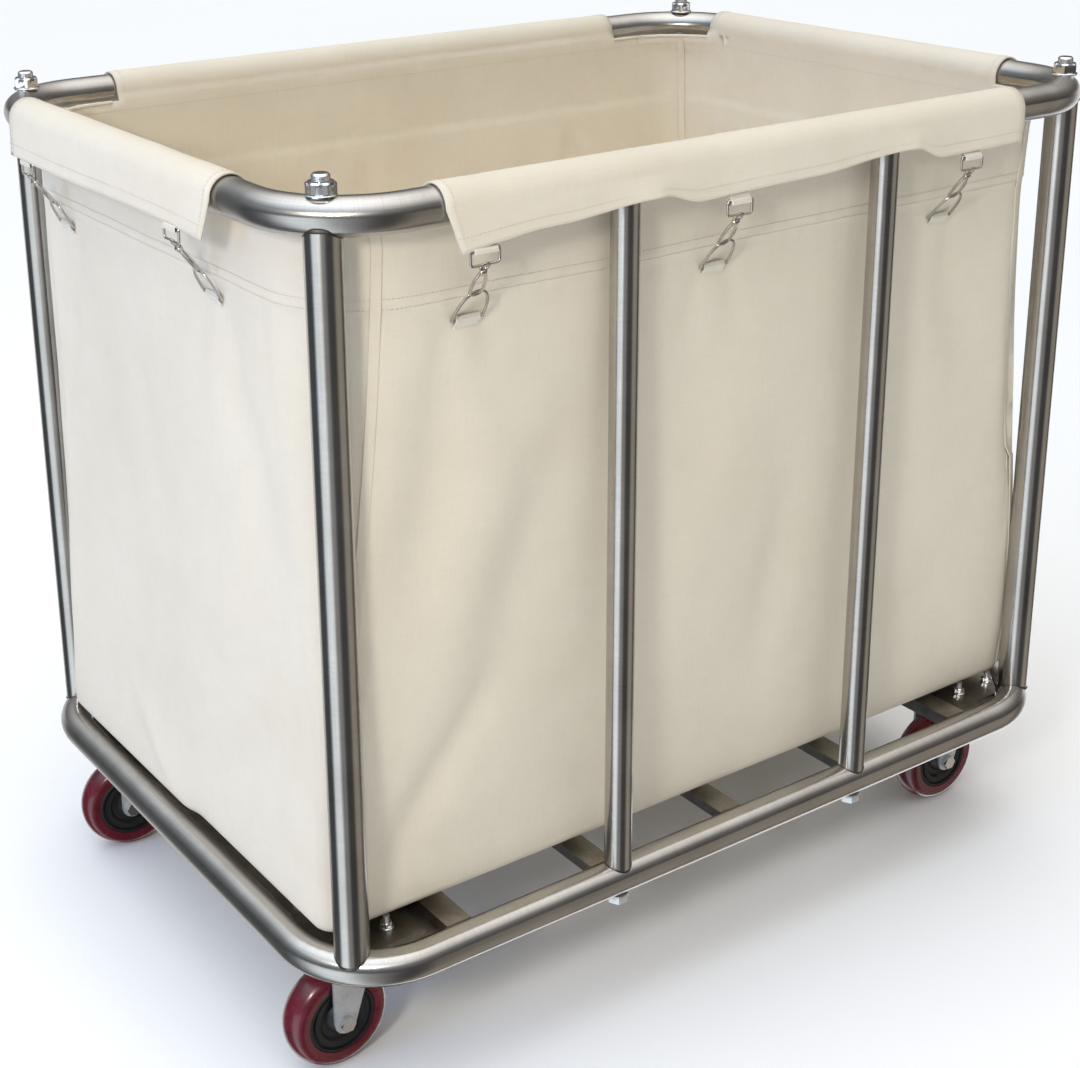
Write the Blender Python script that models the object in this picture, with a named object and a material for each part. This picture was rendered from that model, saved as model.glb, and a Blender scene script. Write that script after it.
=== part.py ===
"""Laundry cart: a round-tube steel frame on four swivel casters, with a canvas bag hung from its top rail.

Units are metres. X runs along the long side, Y along the short side and +Z up. The origin is on the floor,
under the middle of the cart. The front is the long side at -Y.
"""

import math

import bmesh
import bpy
from mathutils import Matrix, Vector

GAP = 0.0003

# Frame: centrelines of the two rail loops and of the posts.
RAIL_RADIUS = 0.016
RAIL_WALL = 0.0015
RAIL_HALF_LENGTH = 0.440
RAIL_HALF_WIDTH = 0.310
BEND_RADIUS = 0.084
BOTTOM_RAIL_Z = 0.142
TOP_RAIL_Z = 0.797
SIDE_POST_RADIUS = 0.0125
SIDE_POST_X = 0.148
ROUND_SIDES = 16
BORE_SIDES = 12
BEND_STEPS = 5
CORNER_STEPS = 4

# Base: cross bars, corner plates and end strips.
BAR_WIDTH = 0.025
BAR_HEIGHT = 0.010
BAR_WALL = 0.0015
BAR_SPACING = 0.157
BAR_TOP_Z = 0.153
PLATE_THICKNESS = 0.003
PLATE_INNER_Y = 0.150
DOUBLER_INNER_X = 0.3385
DOUBLER_INNER_Y = 0.156
DOUBLER_OUTER_Y = 0.281
STRIP_WIDTH = 0.026
STRIP_THICKNESS = 0.003

# Fasteners.
STUD_RADIUS = 0.006
STUD_NUT_CORNER_RADIUS = 0.011
STUD_NUT_HEIGHT = 0.0105
STUD_ABOVE_NUT = 0.008
FOOT_BOLT_RADIUS = 0.005
FOOT_HEAD_CORNER_RADIUS = 0.0098
FOOT_HEAD_HEIGHT = 0.0064
WASHER_RADIUS = 0.0102
WASHER_THICKNESS = 0.002

# Casters.
WHEEL_RADIUS = 0.050
WHEEL_HALF_WIDTH = 0.016
HUB_RADIUS = 0.0335
WHEEL_SIDES = 24
AXLE_RADIUS = 0.004
SWIVEL_X = 0.386
SWIVEL_Y = 0.219
TRAIL = 0.0125
TOP_PLATE_SIZE = (0.060, 0.088, 0.0035)
TOP_PLATE_CORNER_RADIUS = 0.016
BOLT_SPACING = (0.044, 0.076)
PLATE_BOLT_RADIUS = 0.003
KINGPIN_RADIUS = 0.005
LEG_INNER_Y = 0.018
LEG_THICKNESS = 0.003
LEG_FRONT_X = 0.0185
CROWN_TOP_Z = 0.122
CROWN_THICKNESS = 0.004
CASTER_YAW_DEG = {"front_left": 0.0, "front_right": -1.0, "back_left": -9.0, "back_right": 6.0}

# Canvas bag: its cloth thickness, depth and flaps.
CLOTH = 0.003
CLOTH_CLEARANCE = 0.0008
BAG_BOTTOM_Z = 0.1625
BAG_WALL_TOP_Z = 0.775
BAG_BOTTOM_HALF_WIDTH = 0.268
FLAP_HEM_Z = 0.764
FLAP_ARC_STEPS = 8
FRONT_FLAP_HALF_LENGTH = 0.338
END_FLAP_HALF_LENGTH = 0.205
FLAP_THICKENING = 0.0004

# Snap hooks under the flaps: places along each side, and the hook's own size.
LONG_SIDE_HOOKS = (-0.300, -0.042, 0.240)
SHORT_SIDE_HOOKS = (-0.118, 0.185)
HOOK_PIVOT_Z = 0.7505
HOOK_PIVOT_OUT = 0.0195
HOOK_LENGTH = 0.043
HOOK_WIDTH = 0.014
HOOK_WIRE_RADIUS = 0.0013
HOOK_BARREL_RADIUS = 0.0028
HOOK_LEAN_DEG = 40.0
HOOK_END_STEPS = 6

COLOURS = {
    "steel": ((0.62, 0.61, 0.59), 0.28, 1.0),
    "chrome": ((0.80, 0.80, 0.81), 0.12, 1.0),
    "zinc": ((0.66, 0.68, 0.69), 0.38, 1.0),
    "maroon": ((0.22, 0.025, 0.035), 0.22, 0.0),
    "black": ((0.022, 0.022, 0.024), 0.55, 0.0),
    "canvas": ((0.78, 0.74, 0.66), 0.92, 0.0),
}


def material(name):
    colour, roughness, metallic = COLOURS[name]
    made = bpy.data.materials.get(name)
    if made is None:
        made = bpy.data.materials.new(name)
        made.use_nodes = True
        shader = made.node_tree.nodes["Principled BSDF"]
        shader.inputs["Base Color"].default_value = (*colour, 1.0)
        shader.inputs["Roughness"].default_value = roughness
        shader.inputs["Metallic"].default_value = metallic
    return made


def add_object(name, mesh, finish, parent=None):
    obj = bpy.data.objects.new(name, mesh)
    bpy.context.scene.collection.objects.link(obj)
    if not mesh.materials:
        mesh.materials.append(material(finish))
    obj.parent = parent
    return obj


def mesh_from(bm, name):
    """Turns a bmesh into a mesh with outward faces, smooth where it is round."""
    bmesh.ops.recalc_face_normals(bm, faces=bm.faces)
    mesh = bpy.data.meshes.new(name)
    bm.to_mesh(mesh)
    bm.free()
    mesh.shade_smooth()
    mesh.set_sharp_from_angle(angle=math.radians(32))
    return mesh


def add_rings(bm, rings, closed=False):
    """Skins a row of point rings of equal count. An open row gets a cap at each end."""
    rows = [[bm.verts.new(point) for point in ring] for ring in rings]
    count = len(rows[0])
    pairs = list(zip(rows, rows[1:]))
    if closed:
        pairs.append((rows[-1], rows[0]))
    for lower, upper in pairs:
        for i in range(count):
            j = (i + 1) % count
            bm.faces.new((lower[i], lower[j], upper[j], upper[i]))
    if not closed:
        bm.faces.new(reversed(rows[0]))
        bm.faces.new(rows[-1])


def add_prism(bm, outline, low, high):
    """Extrudes a flat outline of (x, y) points from z low to z high."""
    add_rings(bm, [[Vector((x, y, z)) for x, y in outline] for z in (low, high)])


def circle(radius, sides, centre=(0.0, 0.0)):
    turn = 2 * math.pi / sides
    return [(centre[0] + radius * math.cos(k * turn), centre[1] + radius * math.sin(k * turn)) for k in range(sides)]


def hexagon(corner_radius):
    """A hexagon as 12 points, corners and side middles, so that it skins onto a 12-sided circle."""
    flat = corner_radius * math.cos(math.pi / 6)
    points = []
    for k in range(12):
        reach = corner_radius if k % 2 == 0 else flat
        points.append((reach * math.cos(k * math.pi / 6), reach * math.sin(k * math.pi / 6)))
    return points


def rounded_rectangle(half_length, half_width, radius):
    points = []
    for corner, (sx, sy) in enumerate(((1, 1), (-1, 1), (-1, -1), (1, -1))):
        for step in range(CORNER_STEPS + 1):
            angle = (corner + step / CORNER_STEPS) * math.pi / 2
            points.append((
                sx * (half_length - radius) + radius * math.cos(angle),
                sy * (half_width - radius) + radius * math.sin(angle),
            ))
    return points


def add_turned_stack(bm, levels):
    """Skins (z, outline) levels up the Z axis: steps in a bolt or a nut."""
    add_rings(bm, [[Vector((x, y, z)) for x, y in outline] for z, outline in levels])


def add_turned_ring(bm, profile, sides, axis):
    """Turns a closed profile of (along, radius) points round the Y or the Z axis."""
    rings = []
    for k in range(sides):
        angle = 2 * math.pi * k / sides
        c, s = math.cos(angle), math.sin(angle)
        if axis == "Y":
            rings.append([Vector((radius * c, along, radius * s)) for along, radius in profile])
        else:
            rings.append([Vector((radius * c, radius * s, along)) for along, radius in profile])
    add_rings(bm, rings, closed=True)


def add_box(bm, low, high):
    add_prism(bm, [(low[0], low[1]), (high[0], low[1]), (high[0], high[1]), (low[0], high[1])], low[2], high[2])


def helper(name, bm):
    """A wire-drawn body that only a Boolean modifier uses."""
    obj = bpy.data.objects.new(name, mesh_from(bm, name))
    bpy.context.scene.collection.objects.link(obj)
    obj.hide_render = True
    obj.display_type = "WIRE"
    return obj


def boolean(obj, other, operation):
    modifier = obj.modifiers.new(other.name, "BOOLEAN")
    modifier.operation = operation
    modifier.solver = "EXACT"
    modifier.object = other


def rail_path():
    """Centreline of a rail loop, seen from above: straight sides and four quarter bends."""
    points = []
    centre_x = RAIL_HALF_LENGTH - BEND_RADIUS
    centre_y = RAIL_HALF_WIDTH - BEND_RADIUS
    for corner, (sx, sy) in enumerate(((1, 1), (-1, 1), (-1, -1), (1, -1))):
        for step in range(BEND_STEPS + 1):
            angle = (corner + step / BEND_STEPS) * math.pi / 2
            outward = Vector((math.cos(angle), math.sin(angle), 0.0))
            points.append((Vector((sx * centre_x, sy * centre_y, 0.0)) + BEND_RADIUS * outward, outward))
    return points


def rail_body(radius, z, sides):
    bm = bmesh.new()
    rings = []
    for point, outward in rail_path():
        ring = []
        for k in range(sides):
            angle = 2 * math.pi * k / sides
            ring.append(point + radius * math.cos(angle) * outward + Vector((0, 0, z + radius * math.sin(angle))))
        rings.append(ring)
    add_rings(bm, rings, closed=True)
    return bm


def holes(name, radius, places, low, high):
    """Upright drill bodies at (x, y) places."""
    bm = bmesh.new()
    for place in places:
        add_prism(bm, circle(radius, BORE_SIDES, place), low, high)
    return helper(name, bm)


def corner_signs():
    return {"front_left": (-1, -1), "front_right": (1, -1), "back_left": (-1, 1), "back_right": (1, 1)}


def bend_middle():
    """Distance of a bend's middle from the corner of the centreline rectangle, along X and along Y."""
    return BEND_RADIUS * (1 - math.sqrt(0.5))


def post_places():
    x = RAIL_HALF_LENGTH - bend_middle()
    y = RAIL_HALF_WIDTH - bend_middle()
    return {name: (sx * x, sy * y) for name, (sx, sy) in corner_signs().items()}


def side_post_places():
    return {name: (sx * SIDE_POST_X, sy * RAIL_HALF_WIDTH) for name, (sx, sy) in corner_signs().items()}


def make_rails():
    top = add_object("top_rail", mesh_from(rail_body(RAIL_RADIUS, TOP_RAIL_Z, ROUND_SIDES), "top_rail"), "steel")
    top_bore = helper("top_rail_bore", rail_body(RAIL_RADIUS - RAIL_WALL, TOP_RAIL_Z, BORE_SIDES))
    stud_holes = holes(
        "stud_holes", STUD_RADIUS + GAP, post_places().values(), TOP_RAIL_Z, TOP_RAIL_Z + 2 * RAIL_RADIUS
    )
    bottom_mesh = mesh_from(rail_body(RAIL_RADIUS, BOTTOM_RAIL_Z, ROUND_SIDES), "bottom_rail")
    bottom = add_object("bottom_rail", bottom_mesh, "steel")
    bottom_bore = helper("bottom_rail_bore", rail_body(RAIL_RADIUS - RAIL_WALL, BOTTOM_RAIL_Z, BORE_SIDES))
    bolt_holes = holes(
        "foot_bolt_holes",
        FOOT_BOLT_RADIUS + GAP,
        side_post_places().values(),
        BOTTOM_RAIL_Z - 2 * RAIL_RADIUS,
        BOTTOM_RAIL_Z,
    )
    for rail, bore, drilled in ((top, top_bore, stud_holes), (bottom, bottom_bore, bolt_holes)):
        boolean(rail, bore, "DIFFERENCE")
        boolean(rail, drilled, "DIFFERENCE")


def rail_envelopes():
    """The two rails with a small gap all round, which shape every end that meets a rail."""
    return [
        helper("bottom_rail_envelope", rail_body(RAIL_RADIUS + GAP, BOTTOM_RAIL_Z, ROUND_SIDES)),
        helper("top_rail_envelope", rail_body(RAIL_RADIUS + GAP, TOP_RAIL_Z, ROUND_SIDES)),
    ]


def make_posts(envelopes):
    low = BOTTOM_RAIL_Z + RAIL_RADIUS / 10
    high = TOP_RAIL_Z - RAIL_RADIUS / 10
    groups = (("corner_post", post_places(), RAIL_RADIUS), ("side_post", side_post_places(), SIDE_POST_RADIUS))
    for kind, places, radius in groups:
        for where, place in places.items():
            bm = bmesh.new()
            bore = radius - RAIL_WALL
            wall = [(low, radius), (high, radius), (high, bore), (low, bore)]
            add_turned_ring(bm, wall, ROUND_SIDES, "Z")
            post = add_object(f"{kind}_{where}", mesh_from(bm, f"{kind}_{where}"), "steel")
            post.location = (*place, 0)
            if kind == "corner_post":
                post.rotation_euler.z = math.atan2(place[1], place[0])
            for envelope in envelopes:
                boolean(post, envelope, "DIFFERENCE")


def make_cross_bars(envelopes):
    inner_x = BAR_WIDTH / 2 - BAR_WALL
    end_y = RAIL_HALF_WIDTH - SIDE_POST_RADIUS - GAP
    for index in range(5):
        bm = bmesh.new()
        add_box(
            bm,
            (-BAR_WIDTH / 2, -end_y, BAR_TOP_Z - BAR_HEIGHT),
            (BAR_WIDTH / 2, end_y, BAR_TOP_Z),
        )
        bar = add_object(f"cross_bar_{index + 1}", mesh_from(bm, f"cross_bar_{index + 1}"), "steel")
        bar.location.x = (index - 2) * BAR_SPACING
        bore = bmesh.new()
        add_box(
            bore,
            (-inner_x, -RAIL_HALF_WIDTH, BAR_TOP_Z - BAR_HEIGHT + BAR_WALL),
            (inner_x, RAIL_HALF_WIDTH, BAR_TOP_Z - BAR_WALL),
        )
        bore_body = helper(f"cross_bar_bore_{index + 1}", bore)
        bore_body.location.x = bar.location.x
        boolean(bar, bore_body, "DIFFERENCE")
        boolean(bar, envelopes[0], "DIFFERENCE")


def plate_outline(inner_x, inner_y, outer_y):
    """A corner plate seen from above, in the +X +Y corner: square inside, rounded along the rail's bend."""
    edge = RAIL_RADIUS + 2 * GAP
    centre_x = RAIL_HALF_LENGTH - BEND_RADIUS
    centre_y = RAIL_HALF_WIDTH - BEND_RADIUS
    reach = BEND_RADIUS - edge
    last = math.asin(min(1.0, (outer_y - centre_y) / reach))
    outline = [(inner_x, inner_y), (centre_x + reach, inner_y)]
    for step in range(BEND_STEPS + 1):
        angle = last * step / BEND_STEPS
        outline.append((centre_x + reach * math.cos(angle), centre_y + reach * math.sin(angle)))
    outline.append((inner_x, outer_y))
    return outline


def caster_bolt_places(sx, sy):
    """(x, y) of the four bolts of one caster."""
    return [
        (sx * SWIVEL_X + bx * BOLT_SPACING[0] / 2, sy * SWIVEL_Y + by * BOLT_SPACING[1] / 2)
        for bx in (-1, 1)
        for by in (-1, 1)
    ]


def make_corner_plates():
    """Each plate is a wide lower layer and a smaller doubler, welded together."""
    low = BAR_TOP_Z - BAR_HEIGHT - GAP - PLATE_THICKNESS
    middle = low + PLATE_THICKNESS
    rail_edge_y = RAIL_HALF_WIDTH - RAIL_RADIUS - 2 * GAP
    lower = plate_outline(2 * BAR_SPACING - BAR_WIDTH / 2, PLATE_INNER_Y, rail_edge_y)
    doubler = plate_outline(DOUBLER_INNER_X, DOUBLER_INNER_Y, DOUBLER_OUTER_Y)
    doubler = [(x - GAP, y) if x > DOUBLER_INNER_X else (x, y) for x, y in doubler]
    for where, (sx, sy) in corner_signs().items():
        bm = bmesh.new()
        add_prism(bm, [(sx * x, sy * y) for x, y in lower], low, middle)
        plate = add_object(f"corner_plate_{where}", mesh_from(bm, f"corner_plate_{where}"), "steel")
        upper = bmesh.new()
        add_prism(upper, [(sx * x, sy * y) for x, y in doubler], middle - PLATE_THICKNESS / 2, middle + PLATE_THICKNESS)
        boolean(plate, helper(f"plate_doubler_{where}", upper), "UNION")
        drilled = holes(
            f"plate_holes_{where}",
            PLATE_BOLT_RADIUS + GAP,
            caster_bolt_places(sx, sy),
            low - PLATE_THICKNESS,
            middle + 2 * PLATE_THICKNESS,
        )
        boolean(plate, drilled, "DIFFERENCE")


def make_end_strips():
    """A flat strip beside each short rail, between its two corner plates."""
    outer = RAIL_HALF_LENGTH - RAIL_RADIUS - 2 * GAP
    top = BAR_TOP_Z - BAR_HEIGHT - GAP
    for where, sign in (("left", -1), ("right", 1)):
        bm = bmesh.new()
        xs = sorted((sign * outer, sign * (outer - STRIP_WIDTH)))
        add_box(
            bm,
            (xs[0], -PLATE_INNER_Y + GAP, top - STRIP_THICKNESS),
            (xs[1], PLATE_INNER_Y - GAP, top),
        )
        add_object(f"end_strip_{where}", mesh_from(bm, f"end_strip_{where}"), "steel")


def make_studs():
    """A threaded stud with its nut on top of each bend."""
    seat = TOP_RAIL_Z + RAIL_RADIUS + GAP
    shank = circle(STUD_RADIUS, 12)
    nut = hexagon(STUD_NUT_CORNER_RADIUS)
    tip = circle(STUD_RADIUS * 0.8, 12)
    stud_top = seat + STUD_NUT_HEIGHT + STUD_ABOVE_NUT
    levels = [
        (seat - RAIL_RADIUS / 2, shank),
        (seat, shank),
        (seat, nut),
        (seat + STUD_NUT_HEIGHT, nut),
        (seat + STUD_NUT_HEIGHT, shank),
        (stud_top - 0.001, shank),
        (stud_top, tip),
    ]
    for where, place in post_places().items():
        bm = bmesh.new()
        add_turned_stack(bm, levels)
        stud = add_object(f"stud_nut_{where}", mesh_from(bm, f"stud_nut_{where}"), "chrome")
        stud.location = (*place, 0)
        stud.rotation_euler.z = math.atan2(place[1], place[0])


def make_foot_bolts():
    """A bolt with its washer under the bottom rail, below each side post."""
    seat = BOTTOM_RAIL_Z - RAIL_RADIUS - GAP
    washer = circle(WASHER_RADIUS, 12)
    head = hexagon(FOOT_HEAD_CORNER_RADIUS)
    shank = circle(FOOT_BOLT_RADIUS, 12)
    levels = [
        (seat - WASHER_THICKNESS - FOOT_HEAD_HEIGHT, head),
        (seat - WASHER_THICKNESS, head),
        (seat - WASHER_THICKNESS, washer),
        (seat, washer),
        (seat, shank),
        (seat + RAIL_RADIUS / 2, shank),
    ]
    for where, place in side_post_places().items():
        bm = bmesh.new()
        add_turned_stack(bm, levels)
        bolt = add_object(f"foot_bolt_{where}", mesh_from(bm, f"foot_bolt_{where}"), "zinc")
        bolt.location = (*place, 0)


def caster_plate_top():
    return BAR_TOP_Z - BAR_HEIGHT - 2 * GAP - PLATE_THICKNESS


def make_caster_top_plate(where, sx, sy):
    """Mounting plate with its bolts, the upper race and the kingpin that the fork turns on."""
    length, width, thickness = TOP_PLATE_SIZE
    top = caster_plate_top()
    bottom = top - thickness
    bm = bmesh.new()
    add_prism(bm, rounded_rectangle(length / 2, width / 2, TOP_PLATE_CORNER_RADIUS), bottom, top)
    plate = add_object(f"caster_top_plate_{where}", mesh_from(bm, f"caster_top_plate_{where}"), "zinc")
    plate.location = (sx * SWIVEL_X, sy * SWIVEL_Y, 0)
    fittings = bmesh.new()
    race_low = CROWN_TOP_Z + 0.0065
    crown_low = CROWN_TOP_Z - CROWN_THICKNESS
    levels = [
        (crown_low - GAP - 0.004, circle(0.008, ROUND_SIDES)),
        (crown_low - GAP, circle(0.008, ROUND_SIDES)),
        (crown_low - GAP, circle(KINGPIN_RADIUS, ROUND_SIDES)),
        (race_low, circle(KINGPIN_RADIUS, ROUND_SIDES)),
        (race_low, circle(0.024, ROUND_SIDES)),
        (bottom, circle(0.028, ROUND_SIDES)),
        (bottom + thickness / 2, circle(0.027, ROUND_SIDES)),
    ]
    add_turned_stack(fittings, levels)
    stud_end = BAR_TOP_Z + 0.005
    for bx, by in caster_bolt_places(0, 0):
        add_prism(fittings, circle(PLATE_BOLT_RADIUS, 8, (bx, by)), bottom + thickness / 2, stud_end)
    fitted = helper(f"caster_plate_fittings_{where}", fittings)
    fitted.location = plate.location
    boolean(plate, fitted, "UNION")


def leg_outline():
    """One fork leg in the (x, z) plane: upright at the back, slanted at the front, round under the axle."""
    end_radius = 0.011
    outline = [(-TRAIL - end_radius, CROWN_TOP_Z - 0.001)]
    for step in range(7):
        angle = math.pi + math.pi * step / 6 * 0.87
        outline.append((-TRAIL + end_radius * math.cos(angle), WHEEL_RADIUS + end_radius * math.sin(angle)))
    outline.append((LEG_FRONT_X, CROWN_TOP_Z - 0.012))
    outline.append((LEG_FRONT_X, CROWN_TOP_Z - 0.001))
    return outline


def make_fork(where, swivel):
    """Crown with the lower race on top and two legs, drilled for the kingpin and the axle."""
    crown_low = CROWN_TOP_Z - CROWN_THICKNESS
    outer_y = LEG_INNER_Y + LEG_THICKNESS
    bm = bmesh.new()
    add_box(bm, (-0.030, -outer_y, crown_low), (0.026, outer_y, CROWN_TOP_Z))
    fork = add_object(f"caster_fork_{where}", mesh_from(bm, f"caster_fork_{where}"), "zinc", swivel)
    added = bmesh.new()
    for side in (-1, 1):
        near = side * (LEG_INNER_Y + LEG_THICKNESS * 0.02)
        far = side * (outer_y - LEG_THICKNESS * 0.02)
        add_rings(added, [[Vector((x, y, z)) for x, z in leg_outline()] for y in (near, far)])
    race_levels = [
        (CROWN_TOP_Z - CROWN_THICKNESS / 2, circle(0.0255, ROUND_SIDES)),
        (CROWN_TOP_Z + 0.0032, circle(0.0255, ROUND_SIDES)),
        (CROWN_TOP_Z + 0.0062, circle(0.023, ROUND_SIDES)),
    ]
    add_turned_stack(added, race_levels)
    legs = helper(f"caster_fork_legs_{where}", added)
    legs.parent = swivel
    boolean(fork, legs, "UNION")
    drilled = bmesh.new()
    add_prism(drilled, circle(KINGPIN_RADIUS + GAP, ROUND_SIDES), crown_low - 0.01, CROWN_TOP_Z + 0.02)
    axle_hole = [(-TRAIL + x, WHEEL_RADIUS + z) for x, z in circle(AXLE_RADIUS + GAP, BORE_SIDES)]
    reach = outer_y + 0.01
    add_rings(drilled, [[Vector((x, y, z)) for x, z in axle_hole] for y in (-reach, reach)])
    drills = helper(f"caster_fork_drills_{where}", drilled)
    drills.parent = swivel
    boolean(fork, drills, "DIFFERENCE")


def tyre_profile():
    """Half-round tread over a flat inner face, as (along the axle, radius) points."""
    crown = 0.006
    shoulder = WHEEL_HALF_WIDTH - crown
    depth = 0.009
    half = [(crown, WHEEL_RADIUS)]
    for step in range(1, 4):
        angle = step / 3 * math.pi / 2
        half.append((crown + shoulder * math.sin(angle), WHEEL_RADIUS - depth * (1 - math.cos(angle))))
    half.append((WHEEL_HALF_WIDTH - 0.002, HUB_RADIUS))
    return half + [(-along, radius) for along, radius in reversed(half)]


def hub_profile():
    """Rim, sunk web and boss on each side of a plain bore."""
    rim = HUB_RADIUS - GAP
    half = [
        (0.0145, rim),
        (0.0145, rim - 0.004),
        (0.011, rim - 0.006),
        (0.011, 0.012),
        (0.0172, 0.0095),
        (0.0172, AXLE_RADIUS + GAP),
    ]
    return half + [(-along, radius) for along, radius in reversed(half)]


def make_wheel(where, swivel):
    tyre_bm = bmesh.new()
    add_turned_ring(tyre_bm, tyre_profile(), WHEEL_SIDES, "Y")
    hub_bm = bmesh.new()
    add_turned_ring(hub_bm, hub_profile(), WHEEL_SIDES, "Y")
    tyre = add_object(f"caster_tyre_{where}", mesh_from(tyre_bm, f"caster_tyre_{where}"), "maroon", swivel)
    hub = add_object(f"caster_hub_{where}", mesh_from(hub_bm, f"caster_hub_{where}"), "black", swivel)
    for piece in (tyre, hub):
        piece.location = (-TRAIL, 0, WHEEL_RADIUS)


def make_axle_bolt(where, swivel):
    """Bolt through fork and hub, with its head at -Y and its nut at +Y."""
    face = LEG_INNER_Y + LEG_THICKNESS + GAP
    shank = circle(AXLE_RADIUS, 12)
    head = hexagon(0.0075)
    levels = [
        (-face - 0.0053, head),
        (-face, head),
        (-face, shank),
        (face, shank),
        (face, head),
        (face + 0.0065, head),
        (face + 0.0065, shank),
        (face + 0.0095, shank),
    ]
    bm = bmesh.new()
    add_turned_stack(bm, levels)
    bmesh.ops.rotate(bm, cent=(0, 0, 0), matrix=Matrix.Rotation(-math.pi / 2, 3, "X"), verts=bm.verts)
    bolt = add_object(f"caster_axle_bolt_{where}", mesh_from(bm, f"caster_axle_bolt_{where}"), "zinc", swivel)
    bolt.location = (-TRAIL, 0, WHEEL_RADIUS)


def make_casters():
    for where, (sx, sy) in corner_signs().items():
        swivel = bpy.data.objects.new(f"caster_swivel_{where}", None)
        bpy.context.scene.collection.objects.link(swivel)
        swivel.location = (sx * SWIVEL_X, sy * SWIVEL_Y, 0)
        swivel.rotation_euler.z = math.radians(CASTER_YAW_DEG[where])
        make_caster_top_plate(where, sx, sy)
        make_fork(where, swivel)
        make_wheel(where, swivel)
        make_axle_bolt(where, swivel)


def flap_profile():
    """A strip of cloth over the rail, as (outward, z) points: up inside the rail, over it, and down to the hem."""
    inner = RAIL_RADIUS + CLOTH_CLEARANCE + FLAP_THICKENING
    outer = inner + CLOTH
    under = [(-inner, BAG_WALL_TOP_Z - 0.006)]
    over = [(-outer, BAG_WALL_TOP_Z - 0.006)]
    for step in range(FLAP_ARC_STEPS + 1):
        angle = math.pi * (1 - step / FLAP_ARC_STEPS)
        under.append((inner * math.cos(angle), TOP_RAIL_Z + inner * math.sin(angle)))
        over.append((outer * math.cos(angle), TOP_RAIL_Z + outer * math.sin(angle)))
    under.append((inner, FLAP_HEM_Z))
    over.append((outer, FLAP_HEM_Z))
    return over + under[::-1]


def sides():
    """Each side of the cart: name, outward direction, rail distance and half-length of its flap."""
    return (
        ("front", Vector((0, -1, 0)), RAIL_HALF_WIDTH, FRONT_FLAP_HALF_LENGTH, LONG_SIDE_HOOKS),
        ("back", Vector((0, 1, 0)), RAIL_HALF_WIDTH, FRONT_FLAP_HALF_LENGTH, LONG_SIDE_HOOKS),
        ("left", Vector((-1, 0, 0)), RAIL_HALF_LENGTH, END_FLAP_HALF_LENGTH, SHORT_SIDE_HOOKS),
        ("right", Vector((1, 0, 0)), RAIL_HALF_LENGTH, END_FLAP_HALF_LENGTH, SHORT_SIDE_HOOKS),
    )


def along_side(outward):
    return Vector((abs(outward.y), abs(outward.x), 0))


def make_bag():
    """Open canvas bag: walls and floor as one shell, with a flap over the rail on each side."""
    inset = RAIL_RADIUS + CLOTH_CLEARANCE
    length = RAIL_HALF_LENGTH - inset
    width = RAIL_HALF_WIDTH - inset
    radius = BEND_RADIUS - inset
    levels = [
        (BAG_BOTTOM_Z, rounded_rectangle(length, BAG_BOTTOM_HALF_WIDTH, radius)),
        (BAG_WALL_TOP_Z, rounded_rectangle(length, width, radius)),
        (BAG_WALL_TOP_Z, rounded_rectangle(length - CLOTH, width - CLOTH, radius - CLOTH)),
        (BAG_BOTTOM_Z + CLOTH, rounded_rectangle(length - CLOTH, BAG_BOTTOM_HALF_WIDTH - CLOTH, radius - CLOTH)),
    ]
    bm = bmesh.new()
    add_turned_stack(bm, levels)
    bag = add_object("canvas_bag", mesh_from(bm, "canvas_bag"), "canvas")
    flaps = bmesh.new()
    for _, outward, distance, half_length, _ in sides():
        ends = []
        for end in (-half_length, half_length):
            base = outward * distance + along_side(outward) * end
            ends.append([base + outward * out + Vector((0, 0, z)) for out, z in flap_profile()])
        add_rings(flaps, ends)
    boolean(bag, helper("bag_flaps", flaps), "UNION")


def hook_mesh():
    """A long closed loop of wire in the YZ plane, thick at the top where its barrel is, hanging from the origin."""
    straight = HOOK_LENGTH - HOOK_WIDTH
    half = HOOK_WIDTH / 2
    centres = []
    for end, drop in ((0, 0.0), (1, straight)):
        for step in range(HOOK_END_STEPS + 1):
            angle = math.pi * (end + step / HOOK_END_STEPS)
            centres.append(Vector((0, half * math.cos(angle), half * math.sin(angle) - drop)))
    barrel = HOOK_END_STEPS // 2
    top = Vector((0, 0, half - HOOK_WIRE_RADIUS))
    bm = bmesh.new()
    rings = []
    for index, centre in enumerate(centres):
        ahead = (centres[(index + 1) % len(centres)] - centres[index - 1]).normalized()
        across = ahead.cross(Vector((1, 0, 0)))
        radius = HOOK_BARREL_RADIUS if index == barrel else HOOK_WIRE_RADIUS
        ring = []
        for side in range(6):
            angle = 2 * math.pi * side / 6
            ring.append(centre - top + radius * (math.cos(angle) * across + math.sin(angle) * Vector((1, 0, 0))))
        rings.append(ring)
    add_rings(bm, rings, closed=True)
    return mesh_from(bm, "snap_hook")


def make_hooks():
    """Hooks that hold each flap down: each leans in from its flap's hem towards the bag's wall."""
    mesh = hook_mesh()
    for name, outward, distance, _, places in sides():
        facing = math.atan2(outward.y, outward.x)
        lean = Matrix.Rotation(math.radians(HOOK_LEAN_DEG), 4, "Y")
        for index, place in enumerate(places):
            hook = add_object(f"snap_hook_{name}_{index + 1}", mesh, "chrome")
            pivot = outward * (distance + HOOK_PIVOT_OUT) + along_side(outward) * place + Vector((0, 0, HOOK_PIVOT_Z))
            hook.matrix_world = Matrix.Translation(pivot) @ Matrix.Rotation(facing, 4, "Z") @ lean


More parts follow.
